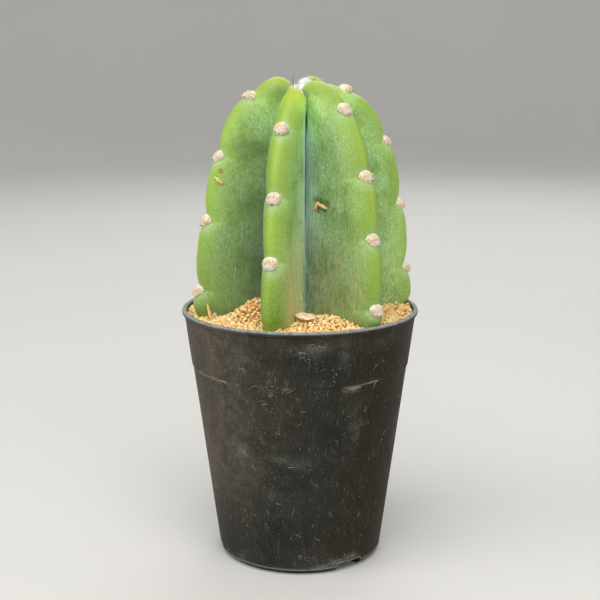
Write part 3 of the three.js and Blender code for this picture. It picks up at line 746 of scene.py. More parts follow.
def make_flesh():
    rows = flesh_rows()
    steps = np.append(LAST_FLANK_POINT * (np.arange(FLANK_POINTS) / (FLANK_POINTS - 1)) ** FLANK_POWER, 1)
    inward = np.concatenate([steps[::-1], steps[1:]])
    across = len(inward) - 1
    side = np.clip((np.arange(across) - FLANK_POINTS) / 4 + 0.5, 0, 1)
    grids, values = [], {name: [] for name in ("edge", "valley", *FLANK_LOOKS)}
    for i, rib in enumerate(RIBS):
        left, right = RIBS[i - 1], RIBS[(i + 1) % len(RIBS)]
        grid = np.stack([
            flesh_point(rib, left if k < FLANK_POINTS else right, rows, inward[k]) for k in range(across + 1)
        ], axis=1)
        run = np.cumsum(np.linalg.norm(np.diff(grid, axis=1), axis=2), axis=1)
        run = np.concatenate([np.zeros((len(rows), 1)), run], axis=1)
        run -= run[:, FLANK_POINTS:FLANK_POINTS + 1]
        edge = np.abs(run[:, :-1])
        width = np.where(np.arange(across) < FLANK_POINTS, -run[:, :1], run[:, -1:])
        grids.append(grid[:, :-1])
        values["edge"].append(edge)
        values["valley"].append(width - edge)
        for name, looks in FLANK_LOOKS.items():
            on_left, on_right = (mix(*np.broadcast_to(v, 2), inward[:-1]) for v in looks[i])
            values[name].append(np.broadcast_to(mix(on_left, on_right, side), edge.shape))
    count = across * len(RIBS)
    ends = [[AXIS_X + LEAN_X - CROWN_SHIFT, 0, CREST[0][1]], [AXIS_X, 0, CREST[-1][1]]]
    points = np.concatenate([np.concatenate(grids, axis=1).reshape(-1, 3), ends])
    order = np.append(np.arange(len(rows) * count), (0, len(rows) * count - 1))
    values = {name: np.concatenate(parts, axis=1).ravel()[order] for name, parts in values.items()}
    along = np.repeat(rows, count)[order]
    in_groove = np.tile(inward[:-1], len(RIBS) * len(rows))[order] > 0.999

    normals = surface_normals(points, grid_faces(len(rows), count, flip=True))
    shown = smoothstep(points[:, 2], *RELIEF_HEIGHTS) * smoothstep(along, *RELIEF_DISTANCES)
    relief = rough(points, FLESH_RELIEF)
    halo = np.zeros(len(points))
    for seat, _, up, _ in AREOLES:
        away = np.linalg.norm(points - seat, axis=1)
        near = away < DIMPLE_REACH
        relief[near] -= DIMPLE_DEPTH * bell(away[near], DIMPLE_RADIUS)
        above = (points[near] - seat) @ up
        fade = smoothstep(away[near], HALO_RADII[0] - HALO_SHIFT * np.sign(above), HALO_RADII[1])
        halo[near] = np.maximum(halo[near], fade)
    points = points + normals * (relief * shown)[:, None]
    radial = points[:, :2] - (AXIS_X, 0)
    radial /= np.maximum(np.linalg.norm(radial, axis=1, keepdims=True), 1e-6)
    crease = np.where(in_groove, CREASE, 0) * smoothstep(points[:, 2], *CREASE_HEIGHTS)
    crease = crease * smoothstep(along, *CREASE_DISTANCES)
    points[:, :2] -= radial * crease[:, None]
    tip = flesh_point(RIBS[1], RIBS[2], BLUSH_DISTANCE, 0)
    values["halo"] = halo
    values["young"] = smoothstep(along, *YOUNG_DISTANCES) * smoothstep(values["edge"], *YOUNG_EDGES)
    values["blush"] = bell(np.linalg.norm(points - tip, axis=1), BLUSH_RADIUS)
    return make_object("cactus_flesh", points, ring_faces(len(rows), count, flip=True), values)


flesh = make_flesh()
finish_piece(flesh, flesh_material(), "flesh", "cactus")
flesh_tree = tree_of(flesh)

# Wool: a lumpy cushion under short curled fibres
AREOLE_TAPER = 0.24
AREOLE_LUMPS = 110
AREOLE_FIBRES = 90
FIBRE_RADIUS = 0.035
CROWN_TUFTS = (  # place and radius
    (1.3, 0.8, 178.2, 2.7), (1.3, 0.2, 180.5, 1.7), (2.3, 0.8, 180.9, 1.7), (0.9, -3.9, 178.8, 1.9),
    (0.5, -6.6, 176.9, 1.2), (-2.8, -4.6, 178.9, 1.1), (-3.5, -5.6, 178.5, 0.8), (3.5, 2.0, 179.7, 1.7),
    (2.2, 3.6, 179.5, 1.9), (-1.3, 2.8, 178.6, 1.6),
)
TUFT_STRETCH = (1, 1, 0.85)
TUFT_LUMPS = 90
STUB_SEAT = (2.3, 2.75, 0.3)  # across, down and outward from the areole's seat
STUB_HEADING = (0.4, 0.5, 1)
YOUNG_SPINES = (  # foot and top
    ((-2.5, -6.0, 178), (-2.6, -6.4, 184.2)), ((-3.0, -6.0, 178), (-3.6, -6.3, 181.4)),
    ((4.3, -1.5, 180.4), (5.6, -1.9, 183.2)),
)


def lump_heights(directions, centres, width):
    """Height from 0 to 1 of round lumps about centres, with creases between them."""
    closeness = (directions @ centres.T).max(axis=1)
    angle = np.arccos(np.clip(closeness, -1, 1))
    return np.clip(1 - (angle / width) ** 2, 0, 1)


def spread_directions(count, random):
    """Evenly spread unit vectors, each shaken a little."""
    i = np.arange(count) + 0.5
    polar = np.arccos(1 - 2 * i / count)
    turn = math.pi * (1 + math.sqrt(5)) * i
    points = np.stack([np.cos(turn) * np.sin(polar), np.sin(turn) * np.sin(polar), np.cos(polar)], -1)
    points += random.normal(0, 0.4 / math.sqrt(count), points.shape)
    return unit(points)


def outer_direction(random):
    """A random direction into the half of space that the third axis points to."""
    direction = random.normal(0, 1, 3)
    direction[2] = abs(direction[2])
    return unit(direction)


def noise_seed(random):
    return int(random.integers(1, 90))


def add_fibre(heap, start, outward, random, lengths, lift, upper):
    """A thin curled fibre that starts at the surface and rises a little from it."""
    length = random.uniform(*lengths)
    heading = unit(np.cross(outward, random.normal(0, 1, 3)))
    bend = np.cross(outward, heading) * random.uniform(-1, 1)
    steps = np.linspace(0, 1, 4)[:, None]
    rise = lift * np.sin(math.pi * steps * 0.8) - 0.1 * length * steps**2
    path = start + length * (heading * steps + bend * steps**2 * 0.7) + outward * rise
    heap.add(*tube(path, FIBRE_RADIUS * np.array([1, 1, 0.8, 0.4]), 3), rise=1.0, upper=upper)


def narrowing(up):
    """How much narrower an areole is above its middle."""
    return 1 - AREOLE_TAPER * np.clip(up, 0, 1) ** 1.5


def make_areoles():
    random = np.random.default_rng(5)
    ball, triangles = unit_ball(5)
    heap = Heap()
    for seat, across, up, outward in AREOLES:
        bump = lump_heights(ball, spread_directions(AREOLE_LUMPS, random), 0.225)
        grain = lattice_noise(ball * 3, 0.32, noise_seed(random))
        radial = 0.97 + 0.11 * bump + 0.04 * grain + 0.07 * lattice_noise(ball, 0.9, noise_seed(random))
        stretch = AREOLE_SIZE * random.uniform(0.95, 1.05, 3)
        local = ball * radial[:, None] * stretch
        local[:, 0] *= narrowing(ball[:, 1])
        axes = np.stack([across, up, outward])
        centre = seat + outward * AREOLE_SEAT
        rise = 0.75 * bump + 0.25 * (grain * 0.5 + 0.5)
        heap.add(centre + local @ axes, triangles, rise=rise, upper=ball[:, 1])
        for _ in range(AREOLE_FIBRES):
            direction = outer_direction(random)
            start = centre + (direction * stretch * (1.05 * narrowing(direction[1]), 1.05, 1.05)) @ axes
            fibre_out = unit((direction / stretch) @ axes)
            add_fibre(heap, start, fibre_out, random, (0.5, 1.3), 0.16, direction[1])
    return heap.make("areoles")


def make_spines():
    """Tiny spine stubs at the lower edge of each areole, and a few thin young spines at the crown."""
    random = np.random.default_rng(8)
    heap = Heap()
    for seat, across, up, outward in AREOLES:
        axes = np.stack([across, -up, outward])
        for _ in range(random.integers(2, 5)):
            angle = random.uniform(-0.7, 0.7)
            ray = np.array([math.sin(angle), math.cos(angle), 1])
            towards = unit((ray * STUB_HEADING) @ axes)
            steps = np.linspace(0, random.uniform(0.45, 0.8), 4)[:, None]
            path = seat + (ray * STUB_SEAT) @ axes + towards * steps
            heap.add(*tube(path, random.uniform(0.13, 0.24) * np.array([1, 1, 0.8, 0.3]), 7))
    for foot, top in YOUNG_SPINES:
        path = mix(np.array(foot), np.array(top), np.linspace(0, 1, 6)[:, None])
        heap.add(*tube(path, 0.13 * np.array([1, 1, 0.85, 0.65, 0.4, 0.12]), 7))
    return heap.make("spine_stubs")


def make_crown_wool():
    random = np.random.default_rng(3)
    ball, triangles = unit_ball(5)
    heap = Heap()
    for *centre, radius in CROWN_TUFTS:
        bump = lump_heights(ball, spread_directions(TUFT_LUMPS, random), 0.25)
        radial = radius * (0.93 + 0.1 * bump + 0.05 * lattice_noise(ball * 3, 0.3, noise_seed(random)))
        local = ball * radial[:, None] * TUFT_STRETCH
        heap.add(centre + local, triangles, rise=0.4 + 0.6 * bump, upper=1.0)
        for _ in range(int(22 * radius**2)):
            direction = outer_direction(random)
            start = centre + direction * radius * TUFT_STRETCH
            add_fibre(heap, start, direction, random, (0.7, 1.8), 0.3, 1.0)
    return heap.make("crown_wool_tufts")


old_wool = wool_material("wool", (255, 252, 232), (184, 152, 110), (200, 168, 122), 0.35)
young_wool = wool_material("young_wool", (255, 255, 255), (250, 246, 242), (255, 252, 248), 0.9)
finish_piece(make_areoles(), old_wool, "wool")
finish_piece(make_spines(), dry_material("spine", (66, 48, 30), (30, 20, 14), (1.5, 1.5, 1.5)), "husk")
finish_piece(make_crown_wool(), young_wool, "wool", "crown_wool")

# Pot
WALL_SWAY = ((0.07, 26, 4), (0.03, 8, 5))  # depth, size and seed of each layer of noise
SWAY_HEIGHTS = (6, 92)
POT_SHARP_ANGLE = 40
# Painted sheen on the rim bead, wear at the foot's corner, wear and painted sheen at the notches
BEAD_SHEEN = 0.85
CHAMFER_WEAR = 0.6
NOTCH_WEAR_AND_SHEEN = 0.7
# Dust on the left, partly a painted reflection: azimuth and spread
DUST_AND_SHEEN_LEFT = (-62, 34)  # azimuth and spread
DUSTY_BACK = (150, 40)
# Painted shade on the right: azimuth and spread
RIGHT_SHADE = (56, 30)
SCUFFS = (  # azimuth, height, half length and half thickness, how much each slopes and its strength
    (-52, 75.2, 11, 0.45, -0.01, 1.0), (-38, 74.9, 5, 0.35, 0.0, 0.8), (-6, 75.1, 3, 0.5, 0, 0.35),
    (27, 74.2, 4.5, 0.9, 0.02, 0.7), (38, 75.3, 5, 0.35, 0.05, 0.9), (120, 75.2, 14, 0.4, 0, 0.7),
    (196, 75.2, 18, 0.45, 0, 0.8), (256, 75.1, 10, 0.4, 0, 0.7),
)
SMEARS = (  # azimuth, height, half length, half height and strength
    (-33, 49, 3.4, 2.6, 0.9), (-11, 47.5, 6, 1.6, 0.5), (0, 45.5, 4, 2, 0.4), (-19, 33, 3, 3.4, 0.35),
    (6, 90.5, 6, 2, 0.6), (22, 88, 2, 6, 0.4), (-28, 86, 4, 2, 0.3), (30, 60, 3, 8, 0.3),
    (150, 52, 7, 4, 0.5), (205, 40, 5, 7, 0.5), (250, 63, 6, 4, 0.5), (26, 4, 3.2, 1.5, 1.3),
    (15, 2.8, 3.6, 1, 1.2), (37, 5.2, 3.4, 1, 1.2), (-44, 4.5, 1.5, 1.5, 0.6),
)


def wall_radius(height):
    foot = FOOT_RADIUS + CHAMFER_WIDTH
    top = RIM_RADIUS - BEAD_OVERHANG - LEDGE_STEP
    rise = (height - CHAMFER_HEIGHT) / (POT_HEIGHT - BEAD_HEIGHT - CHAMFER_HEIGHT)
    return mix(foot, top, rise) + LEDGE_STEP * smoothstep(height, LEDGE_HEIGHT - 0.1, LEDGE_HEIGHT + 0.5)


def inner_radius(height):
    return float(wall_radius(height)) - WALL


def pot_outline():
    """Radius and height pairs from the middle of the underside, up the outside and down the inside."""
    bead_foot = POT_HEIGHT - BEAD_HEIGHT
    mouth = RIM_RADIUS - BEAD_OVERHANG - WALL
    foot_inside = FOOT_RADIUS - FOOT_RING_WIDTH
    outline = [(r, FLOOR_UNDERSIDE) for r in np.linspace(0, foot_inside - 0.5, 8)]
    outline += [(foot_inside - 0.12, 0.35), (foot_inside + 0.2, 0)]
    outline += [(FOOT_RADIUS - 0.35, 0), (FOOT_RADIUS - 0.08, 0.07)]
    for share in np.linspace(0.05, 0.94, 7):
        bow = 0.1 * math.sin(math.pi * share)
        outline.append((FOOT_RADIUS + CHAMFER_WIDTH * share + bow, CHAMFER_HEIGHT * share))
    heights = np.concatenate([
        [CHAMFER_HEIGHT + 0.15, CHAMFER_HEIGHT + 0.6, FLOOR_UNDERSIDE - 0.05, FLOOR_UNDERSIDE + 0.3],
        np.arange(FLOOR_UNDERSIDE + 0.8, LEDGE_HEIGHT - 0.8, 1.0),
        np.arange(LEDGE_HEIGHT - 0.6, LEDGE_HEIGHT + 1.0, 0.15),
        np.arange(LEDGE_HEIGHT + 1.6, bead_foot - 0.3, 1.0),
    ])
    outline += [(float(wall_radius(h)), h) for h in heights]
    outline.append((RIM_RADIUS - BEAD_OVERHANG, bead_foot - 0.05))
    middle = POT_HEIGHT - BEAD_HEIGHT / 2
    for a in np.radians(np.linspace(-75, 88, 12)):
        radius = RIM_RADIUS - BEAD_ROUNDING + BEAD_ROUNDING * math.cos(a)
        outline.append((radius, middle + BEAD_HEIGHT / 2 * math.sin(a)))
    outline += [(mouth + 0.7, POT_HEIGHT), (mouth + 0.25, POT_HEIGHT - 0.08), (mouth, POT_HEIGHT - 0.4)]
    inside = [np.arange(POT_HEIGHT - 1.2, LEDGE_HEIGHT + 1, -1.5), np.arange(LEDGE_HEIGHT, 8, -4)]
    outline += [(inner_radius(h), h) for h in np.concatenate(inside)]
    outline.append((inner_radius(FLOOR_TOP) - 1, FLOOR_TOP))
    outline += [(r, FLOOR_TOP) for r in np.linspace(float(wall_radius(FLOOR_TOP)) - 4, 0, 8)]
    return np.array(outline, float)


def notch_top(azimuth):
    """Height of the notches' upper edge at an azimuth in degrees, and 0 between the notches."""
    top = np.zeros_like(azimuth)
    inner = NOTCH_WIDTH / 2 - NOTCH_CORNER
    for centre in NOTCH_AZIMUTHS:
        away = np.abs((azimuth - centre + 540) % 360 - 180)
        run = np.radians(away) * (FOOT_RADIUS + CHAMFER_WIDTH / 2)
        fall = np.clip((run - inner) / NOTCH_CORNER, 0, 1)
        edge = NOTCH_HEIGHT - NOTCH_CORNER * (1 - np.sqrt(1 - fall**2))
        top = np.where(run <= NOTCH_WIDTH / 2, edge, top)
    return top


def pot_azimuths():
    """Even steps round the pot and close pairs at the ends of the notches."""
    half = math.degrees(NOTCH_WIDTH / 2 / (FOOT_RADIUS + CHAMFER_WIDTH / 2))
    azimuths = list(np.arange(POT_SEGMENTS) * 360 / POT_SEGMENTS + 0.11)
    for centre in NOTCH_AZIMUTHS:
        azimuths += [centre + side * half + shift for side in (-1, 1) for shift in (-0.03, 0.03)]
    return np.array(sorted(azimuths))


def make_pot():
    outline, azimuths = pot_outline()[1:-1], pot_azimuths()
    radii, heights = np.repeat(outline, len(azimuths), axis=0).T
    turn = np.radians(np.tile(azimuths, len(outline)))
    foot = (heights < FLOOR_UNDERSIDE) & (radii > FOOT_RADIUS - FOOT_RING_WIDTH - 0.2)
    heights = np.where(foot, np.maximum(heights, notch_top(np.degrees(turn))), heights)
    points = around_axis(radii, turn, heights)
    wall = (heights > SWAY_HEIGHTS[0]) & (heights < SWAY_HEIGHTS[1])
    points[:, :2] *= 1 + (rough(points, WALL_SWAY) * wall / np.maximum(radii, 1))[:, None]
    points = np.concatenate([points, [[0, 0, FLOOR_UNDERSIDE], [0, 0, FLOOR_TOP]]])
    return make_object("pot_shell", points, ring_faces(len(outline), len(azimuths)), pot_marks(points))


def pot_marks(points):
    """Scuff, smear, wear and painted sheen, dust and painted reflection, and painted shade at each point of
    the pot, 0 to about 1.
    """
    height = points[:, 2]
    radius = np.hypot(points[:, 0], points[:, 1])
    turn = np.degrees(np.arctan2(points[:, 0], -points[:, 1]))
    outer = radius > wall_radius(height) - WALL / 2

    def along_wall(azimuth):
        return np.radians((turn - azimuth + 540) % 360 - 180) * radius

    scuff, smear = np.zeros(len(points)), np.zeros(len(points))
    for azimuth, at, length, thickness, slope, strength in SCUFFS:
        run = along_wall(azimuth)
        fade = smoothstep(np.abs(run), length, length * 0.6)
        scuff = np.maximum(scuff, strength * bell(height - at - slope * run, thickness) * fade)
    for azimuth, at, length, tall, strength in SMEARS:
        smear = np.maximum(smear, strength * bell(along_wall(azimuth), length) * bell(height - at, tall))
    # Painted sheen on top of the rim bead; wear at the foot's corner; wear and painted sheen along the
    # notches
    bead = BEAD_SHEEN * smoothstep(height, POT_HEIGHT - 1, POT_HEIGHT - 0.3)
    corner = CHAMFER_WEAR * bell(height - CHAMFER_HEIGHT, 0.4)
    brim = notch_top(turn)
    corner = np.maximum(corner, (brim > 0) * NOTCH_WEAR_AND_SHEEN * bell(height - brim, 0.5))
    # Dust on the left side, partly a painted reflection there
    left = bell(turn - DUST_AND_SHEEN_LEFT[0], DUST_AND_SHEEN_LEFT[1]) * smoothstep(height, 10, 45)
    behind = bell(np.abs(turn) - DUSTY_BACK[0], DUSTY_BACK[1])
    ends = 0.25 * smoothstep(height, 84, 93) + 0.1 * smoothstep(height, 16, 4)
    return {
        "scuff": scuff * outer, "smear": smear * outer, "wear_and_sheen": np.maximum(bead, corner * outer),
        "dust": np.clip(1.3 * left + 0.2 * behind + ends, 0, 1) * outer,
        "right_shade": bell(turn - RIGHT_SHADE[0], RIGHT_SHADE[1]) * outer,
    }


def cut_holes(obj):
    """Cuts the drainage holes through the floor and gives the mesh sharp edges where it turns hard."""
    middle = (FLOOR_UNDERSIDE + FLOOR_TOP) / 2
    turns = np.radians(360 * (np.arange(DRAIN_HOLES) + 0.5) / DRAIN_HOLES)
    holes = [(centre, DRAIN_HOLE_RADIUS) for centre in around_axis(DRAIN_HOLE_CIRCLE, turns, middle)]
    cutter = bmesh.new()
    for centre, radius in [((0, 0, middle), CENTRE_HOLE_RADIUS)] + holes:
        bmesh.ops.create_cone(
            cutter, cap_ends=True, segments=40, radius1=radius * MM, radius2=radius * MM, depth=4 * MM,
            matrix=Matrix.Translation(Vector(centre) * MM),
        )
    mesh = bpy.data.meshes.new("holes")
    cutter.to_mesh(mesh)
    cutter.free()
    tool = bpy.data.objects.new("holes", mesh)
    bpy.context.scene.collection.objects.link(tool)
    modifier = obj.modifiers.new("holes", "BOOLEAN")
    modifier.operation = "DIFFERENCE"
    modifier.solver = "EXACT"
    modifier.object = tool
    whole = bpy.data.meshes.new_from_object(obj.evaluated_get(bpy.context.evaluated_depsgraph_get()))
    obj.modifiers.clear()
    obj.data = whole
    bpy.data.objects.remove(tool)
    whole.set_sharp_from_angle(angle=math.radians(POT_SHARP_ANGLE))


pot = make_pot()
cut_holes(pot)
finish_piece(pot, pot_material(), "pot_plastic", "pot")
pot_tree = tree_of(pot)

# Lint on the wall
LINT_SPOTS = (  # azimuth, height and spread
    (-17, 71, 3), (-15, 74, 2), (3, 88, 2.5), (14, 80, 3), (-8, 58, 8), (22, 60, 9), (-35, 45, 8),
    (8, 44, 9), (-22, 25, 8), (25, 22, 8), (0, 10, 8), (-40, 84, 5), (45, 80, 7), (75, 40, 16),
    (110, 66, 14), (150, 30, 16), (190, 70, 16), (230, 35, 16), (265, 62, 16), (295, 26, 12), (20, 4, 4),
)
HAIRS_PER_SPOT = 6
SPECKS_PER_SPOT = 18
LINT_HEIGHTS = (3.6, 92)
MEAN_RADIUS = 36


def on_wall(azimuth, run, height):
    """The point of the pot's wall that lies a run in millimetres beside an azimuth, and its normal."""
    level = min(max(height, LINT_HEIGHTS[0]), LINT_HEIGHTS[1])
    angle = math.radians(azimuth + math.degrees(run / MEAN_RADIUS))
    beside = around_axis(float(wall_radius(level)) + 0.3, angle, level)
    found, normal, _, _ = pot_tree.find_nearest(Vector(beside * MM))
    return np.array(found) / MM, np.array(normal)


def make_lint():
    """Short curled hairs and pale specks that cling to the wall."""
    random = np.random.default_rng(30)
    ball, triangles = unit_ball(1)
    heap = Heap()
    for azimuth, middle, spread in LINT_SPOTS:
        for _ in range(HAIRS_PER_SPOT):
            run, height = random.normal(0, spread, 2) * (1.2, 1)
            heading, bend = random.uniform(0, math.pi), random.normal(0, 0.3)
            step = random.uniform(0.12, 0.55)
            path = []
            for _ in range(7):
                run += step * math.cos(heading)
                height += step * math.sin(heading)
                heading += bend + random.normal(0, 0.15)
                place, normal = on_wall(azimuth, run, middle + height)
                path.append(place + normal * 0.03)
            radii = random.uniform(0.02, 0.045) * np.array([0.5, 1, 1, 1, 1, 1, 0.4])
            heap.add(*tube(path, radii, 4), tint=random.random())
        for _ in range(SPECKS_PER_SPOT):
            run, height = random.normal(0, spread, 2) * (1.2, 1)
            place, normal = on_wall(azimuth, run, middle + height)
            shape = ball * random.uniform(0.6, 1.4, 3) * random.uniform(0.04, 0.15)
            shape -= np.outer(shape @ normal, normal) * 0.6
            heap.add(shape + place, triangles, tint=random.random())
    return heap.make("pot_lint")


finish_piece(make_lint(), lint_material(), "pot_plastic")

# Grit
BED_DEPTH = 1.3
BED_RINGS = 64
BED_AROUND = 220
BED_RELIEF = ((0.35, 1.7, 6), (0.2, 0.8, 7))  # depth, size and seed of each layer of noise
BED_TONES = ((0.2, (214, 162, 92)), (0.8, (252, 208, 132)))
GRIT_TONES = ((0.05, (234, 168, 98)), (0.3, (255, 205, 130)), (0.6, (255, 225, 154)), (0.9, (255, 240, 196)))
GRAIN_PASSES = (  # tries, least and greatest radius, closeness (0 for those on top) and rise in radii
    (5000, 0.8, 1.05, 0.9, -0.3), (14000, 0.6, 0.8, 0.86, -0.3), (30000, 0.42, 0.6, 0.84, -0.3),
    (2400, 0.4, 0.8, 0, 0.8),
)
SHARE_ON_TOP = 0.13
CELL = 3
FINE_GRAIN = 0.6
GRAIN_CUTS = 8
GRAIN_SHARP_ANGLE = 30


def grit_height(x, y):
    share = np.minimum(np.hypot(x, y) / RIM_RADIUS, 1)
    height = GRIT_EDGE_HEIGHT + GRIT_CROWN_RISE * (1 - share**2)
    for at_x, at_y, rise, spread in HEAPS:
        height = height + rise * np.exp(-(((x - at_x) ** 2 + (y - at_y) ** 2) / spread**2))
    return height


def make_grit_bed():
    outer = inner_radius(GRIT_EDGE_HEIGHT) - 0.3
    radii = np.linspace(outer / BED_RINGS, outer, BED_RINGS)
    turn = np.arange(BED_AROUND) * 2 * math.pi / BED_AROUND
    top = around_axis(radii[:, None], turn, 0).reshape(-1, 3)
    top[:, 2] = grit_height(top[:, 0], top[:, 1]) - BED_DEPTH + rough(top, BED_RELIEF)
    foot = around_axis(inner_radius(GRIT_BASE) - 0.4, turn, GRIT_BASE)
    ends = [[0, 0, float(grit_height(0, 0)) - BED_DEPTH], [0, 0, GRIT_BASE]]
    points = np.concatenate([top, foot, ends])
    tint = 0.35 + 0.25 * lattice_noise(points, 1.6, 8)
    return make_object("grit_bed", points, ring_faces(BED_RINGS + 1, BED_AROUND, flip=True), {"tint": tint})


def clear_of_flesh(x, y, z, distance):
    """True if a ball at that place stays outside the flesh."""
    place = Vector((x * MM, y * MM, z * MM))
    found, normal, _, away = flesh_tree.find_nearest(place)
    return away > distance * MM and (place - found).dot(normal) > 0


def lay_grains(random):
    """Places and radii of the grains: a full layer, small ones in its gaps and a few loose on top."""
    outer = inner_radius(GRIT_EDGE_HEIGHT) - 0.15
    held, grains = {}, []

    def room(x, y, radius, closeness):
        column, row = int(x // CELL), int(y // CELL)
        for i in (-1, 0, 1):
            for j in (-1, 0, 1):
                for ox, oy, other in held.get((column + i, row + j), ()):
                    if math.hypot(ox - x, oy - y) < closeness * (radius + other):
                        return False
        return True

    for tries, low, high, closeness, stand in GRAIN_PASSES:
        for _ in range(tries):
            radius = random.uniform(low, high)
            reach = (outer - radius) * math.sqrt(random.random())
            angle = random.random() * 2 * math.pi
            x, y = reach * math.sin(angle), -reach * math.cos(angle)
            if closeness and not room(x, y, radius, closeness):
                continue
            if not closeness and random.random() > SHARE_ON_TOP:
                continue
            z = float(grit_height(x, y)) + stand * radius + random.uniform(-0.2, 0.2)
            if not clear_of_flesh(x, y, z, radius * 0.55):
                continue
            grains.append((x, y, z, radius))
            if closeness:
                held.setdefault((int(x // CELL), int(y // CELL)), []).append((x, y, radius))
    return grains


def make_grains():
    """The grains as two pieces, the coarse ones and the fine ones. Each is a ball with flat cuts."""
    random = np.random.default_rng(21)
    ball, triangles = unit_ball(2)
    coarse, fine = Heap(), Heap()
    for *place, radius in lay_grains(random):
        shape = ball.copy()
        for _ in range(GRAIN_CUTS):
            cut = unit(random.normal(0, 1, 3))
            over = np.clip(shape @ cut - random.uniform(0.58, 0.86), 0, None)
            shape -= over[:, None] * cut
        shape *= 1.04 + 0.16 * lattice_noise(ball, 0.6, int(random.integers(1, 900)))[:, None]
        shape *= random.uniform(0.8, 1.24, 3) * radius
        axes, _ = np.linalg.qr(random.normal(0, 1, (3, 3)))
        if np.linalg.det(axes) < 0:
            axes[0] *= -1
        heap = coarse if radius > FINE_GRAIN else fine
        heap.add(shape @ axes * (1, 1, 0.86) + place, triangles, tint=random.beta(2.2, 1.8))
    return coarse.make("grit_grains"), fine.make("grit_fines")


finish_piece(make_grit_bed(), grit_material("grit_below", BED_TONES, (172, 122, 64)), "grit", "top_grit")
grain_look = grit_material("grit", GRIT_TONES, (252, 206, 124))
for grains in make_grains():
    grains.data.set_sharp_from_angle(angle=math.radians(GRAIN_SHARP_ANGLE))
    finish_piece(grains, grain_look, "grit", "top_grit")

# Loose matter on the grit and on the flesh
HUSK_LENGTH = 7.3
HUSK_WIDTH = 3.6
HUSK_THICKNESS = 0.28
HUSK_CURL = 1.35
HUSK_POINTS = (40, 22)
HUSK_TURNS = ((26, "X"), (-6, "Z"), (7, "Y"))
HUSK_PLACE = (1.7, -28.3, 98.9)
STAINS = (  # pixel of the picture and radius in millimetres
    (317, 199.5, 1.7), (326.5, 203, 1.7), (322, 201.5, 1.3), (318, 209.5, 1.4), (324, 211, 1.2),
)
FLAKES = (  # pixels and width
    (((314.6, 210), (317.3, 205.5), (319.5, 202)), 1.5),
    (((318.5, 203.5), (323, 206), (327.4, 208.7)), 1.35),
    (((316.4, 206.2), (317.1, 211)), 0.9), (((215.5, 177.2), (219, 180.3), (222.8, 184)), 1.3),
)
SCRATCHES = (  # pixels
    ((316.8, 209.6), (321, 211), (325.4, 214.2)), ((319, 211.8), (323, 212.6), (327, 215.2)),
    ((322, 216), (325, 217)), ((234.6, 262), (235.6, 268), (234.6, 275), (233.6, 284)),
    ((231, 265.5), (232.2, 269), (232, 272)), ((348, 262), (347, 270)), ((240, 148), (246, 151)),
)
SCABS = ((220.8, 170.5, 0.85), (219.6, 172.2, 0.5), (329, 190, 0.3), (246, 228, 0.28))  # pixel and radius
LEANING_STRAW = ((210.5, 321), (207.5, 304.5))  # pixels of its foot and its top
LYING_STRAWS = (((236, 318), (243, 322)), ((362, 322), (369, 318.5)), ((384, 312), (389, 309)))
PEBBLES = (  # pixel, radius and tint
    (215, 316, 1.35, 0.9), (329, 309.5, 0.9, 0.1), (246, 313, 0.6, 0.2), (397, 308, 0.7, 0.8),
)


def make_husk():
    """A dry curled husk, open along its top, with ribs along its length."""
    u, v = np.meshgrid(*(np.linspace(-1, 1, count) for count in HUSK_POINTS), indexing="ij")
    half = HUSK_WIDTH / 2 * (1 - np.abs(u) ** 2.2) ** 0.75 + 0.05
    angle = v * HUSK_CURL
    y = half * np.sin(angle) / math.sin(HUSK_CURL)
    z = half * 0.5 * (np.cos(angle) - 0.5) - 0.3 * u**2 + 0.05 * np.sin(v * 16)
    middle = np.stack([u * HUSK_LENGTH / 2, y, z], -1).reshape(-1, 3)
    upper = grid_faces(*HUSK_POINTS, closed=False, flip=True)
    normals = surface_normals(middle, upper)
    count = len(middle)
    lower = [tuple(count + k for k in reversed(f)) for f in upper]
    index = np.arange(count).reshape(HUSK_POINTS)
    border = [*index[:, 0], *index[-1, 1:], *index[-2::-1, -1], *index[0, -2:0:-1]]
    sides = [(b, a, count + a, count + b) for a, b in zip(border, border[1:] + border[:1])]
    points = np.concatenate([middle + normals * HUSK_THICKNESS / 2, middle - normals * HUSK_THICKNESS / 2])
    points += 0.05 * np.stack([lattice_noise(points, 1.1, k) for k in (11, 12, 13)], -1)
    tilt = Matrix.Identity(3)
    for degrees, axis in HUSK_TURNS:
        tilt = Matrix.Rotation(math.radians(degrees), 3, axis) @ tilt
    return make_object("husk_shell", points @ np.array(tilt).T + HUSK_PLACE, upper + lower + sides)


def on_flesh(x, y):
    """The point of the flesh behind a pixel of the picture, in millimetres, and its normal."""
    found, normal, _, _ = flesh_tree.ray_cast(*sight(x, y))
    return np.array(found) / MM, np.array(normal)


def over_flesh(pixels, rise):
    """Points at that height over the flesh behind pixels of the picture."""
    return [place + normal * rise for place, normal in (on_flesh(x, y) for x, y in pixels)]


def on_grit(x, y, rise):
    """The point at that height over the grit behind a pixel of the picture, in millimetres."""
    start, towards = map(np.array, sight(x, y))
    start = start / MM
    reach = (GRIT_EDGE_HEIGHT + rise - start[2]) / towards[2]
    for _ in range(30):
        place = start + towards * reach
        reach += (float(grit_height(place[0], place[1])) + rise - place[2]) / towards[2] * 0.7
    return start + towards * reach


def stain_flesh():
    """Marks a dark blotch on the flesh."""
    points = np.array([v.co for v in flesh.data.vertices]) / MM
    stain = np.zeros(len(points))
    for x, y, radius in STAINS:
        away = np.linalg.norm(points - on_flesh(x, y)[0], axis=1)
        stain = np.maximum(stain, smoothstep(away, radius * 1.3, radius * 0.5))
    mark_points(flesh.data, "stain", stain)


def polyline(corners, t):
    """Points of a line through corners, at t from 0 to 1."""
    return np.stack([np.interp(t, np.linspace(0, 1, len(corners)), c) for c in np.transpose(corners)], -1)


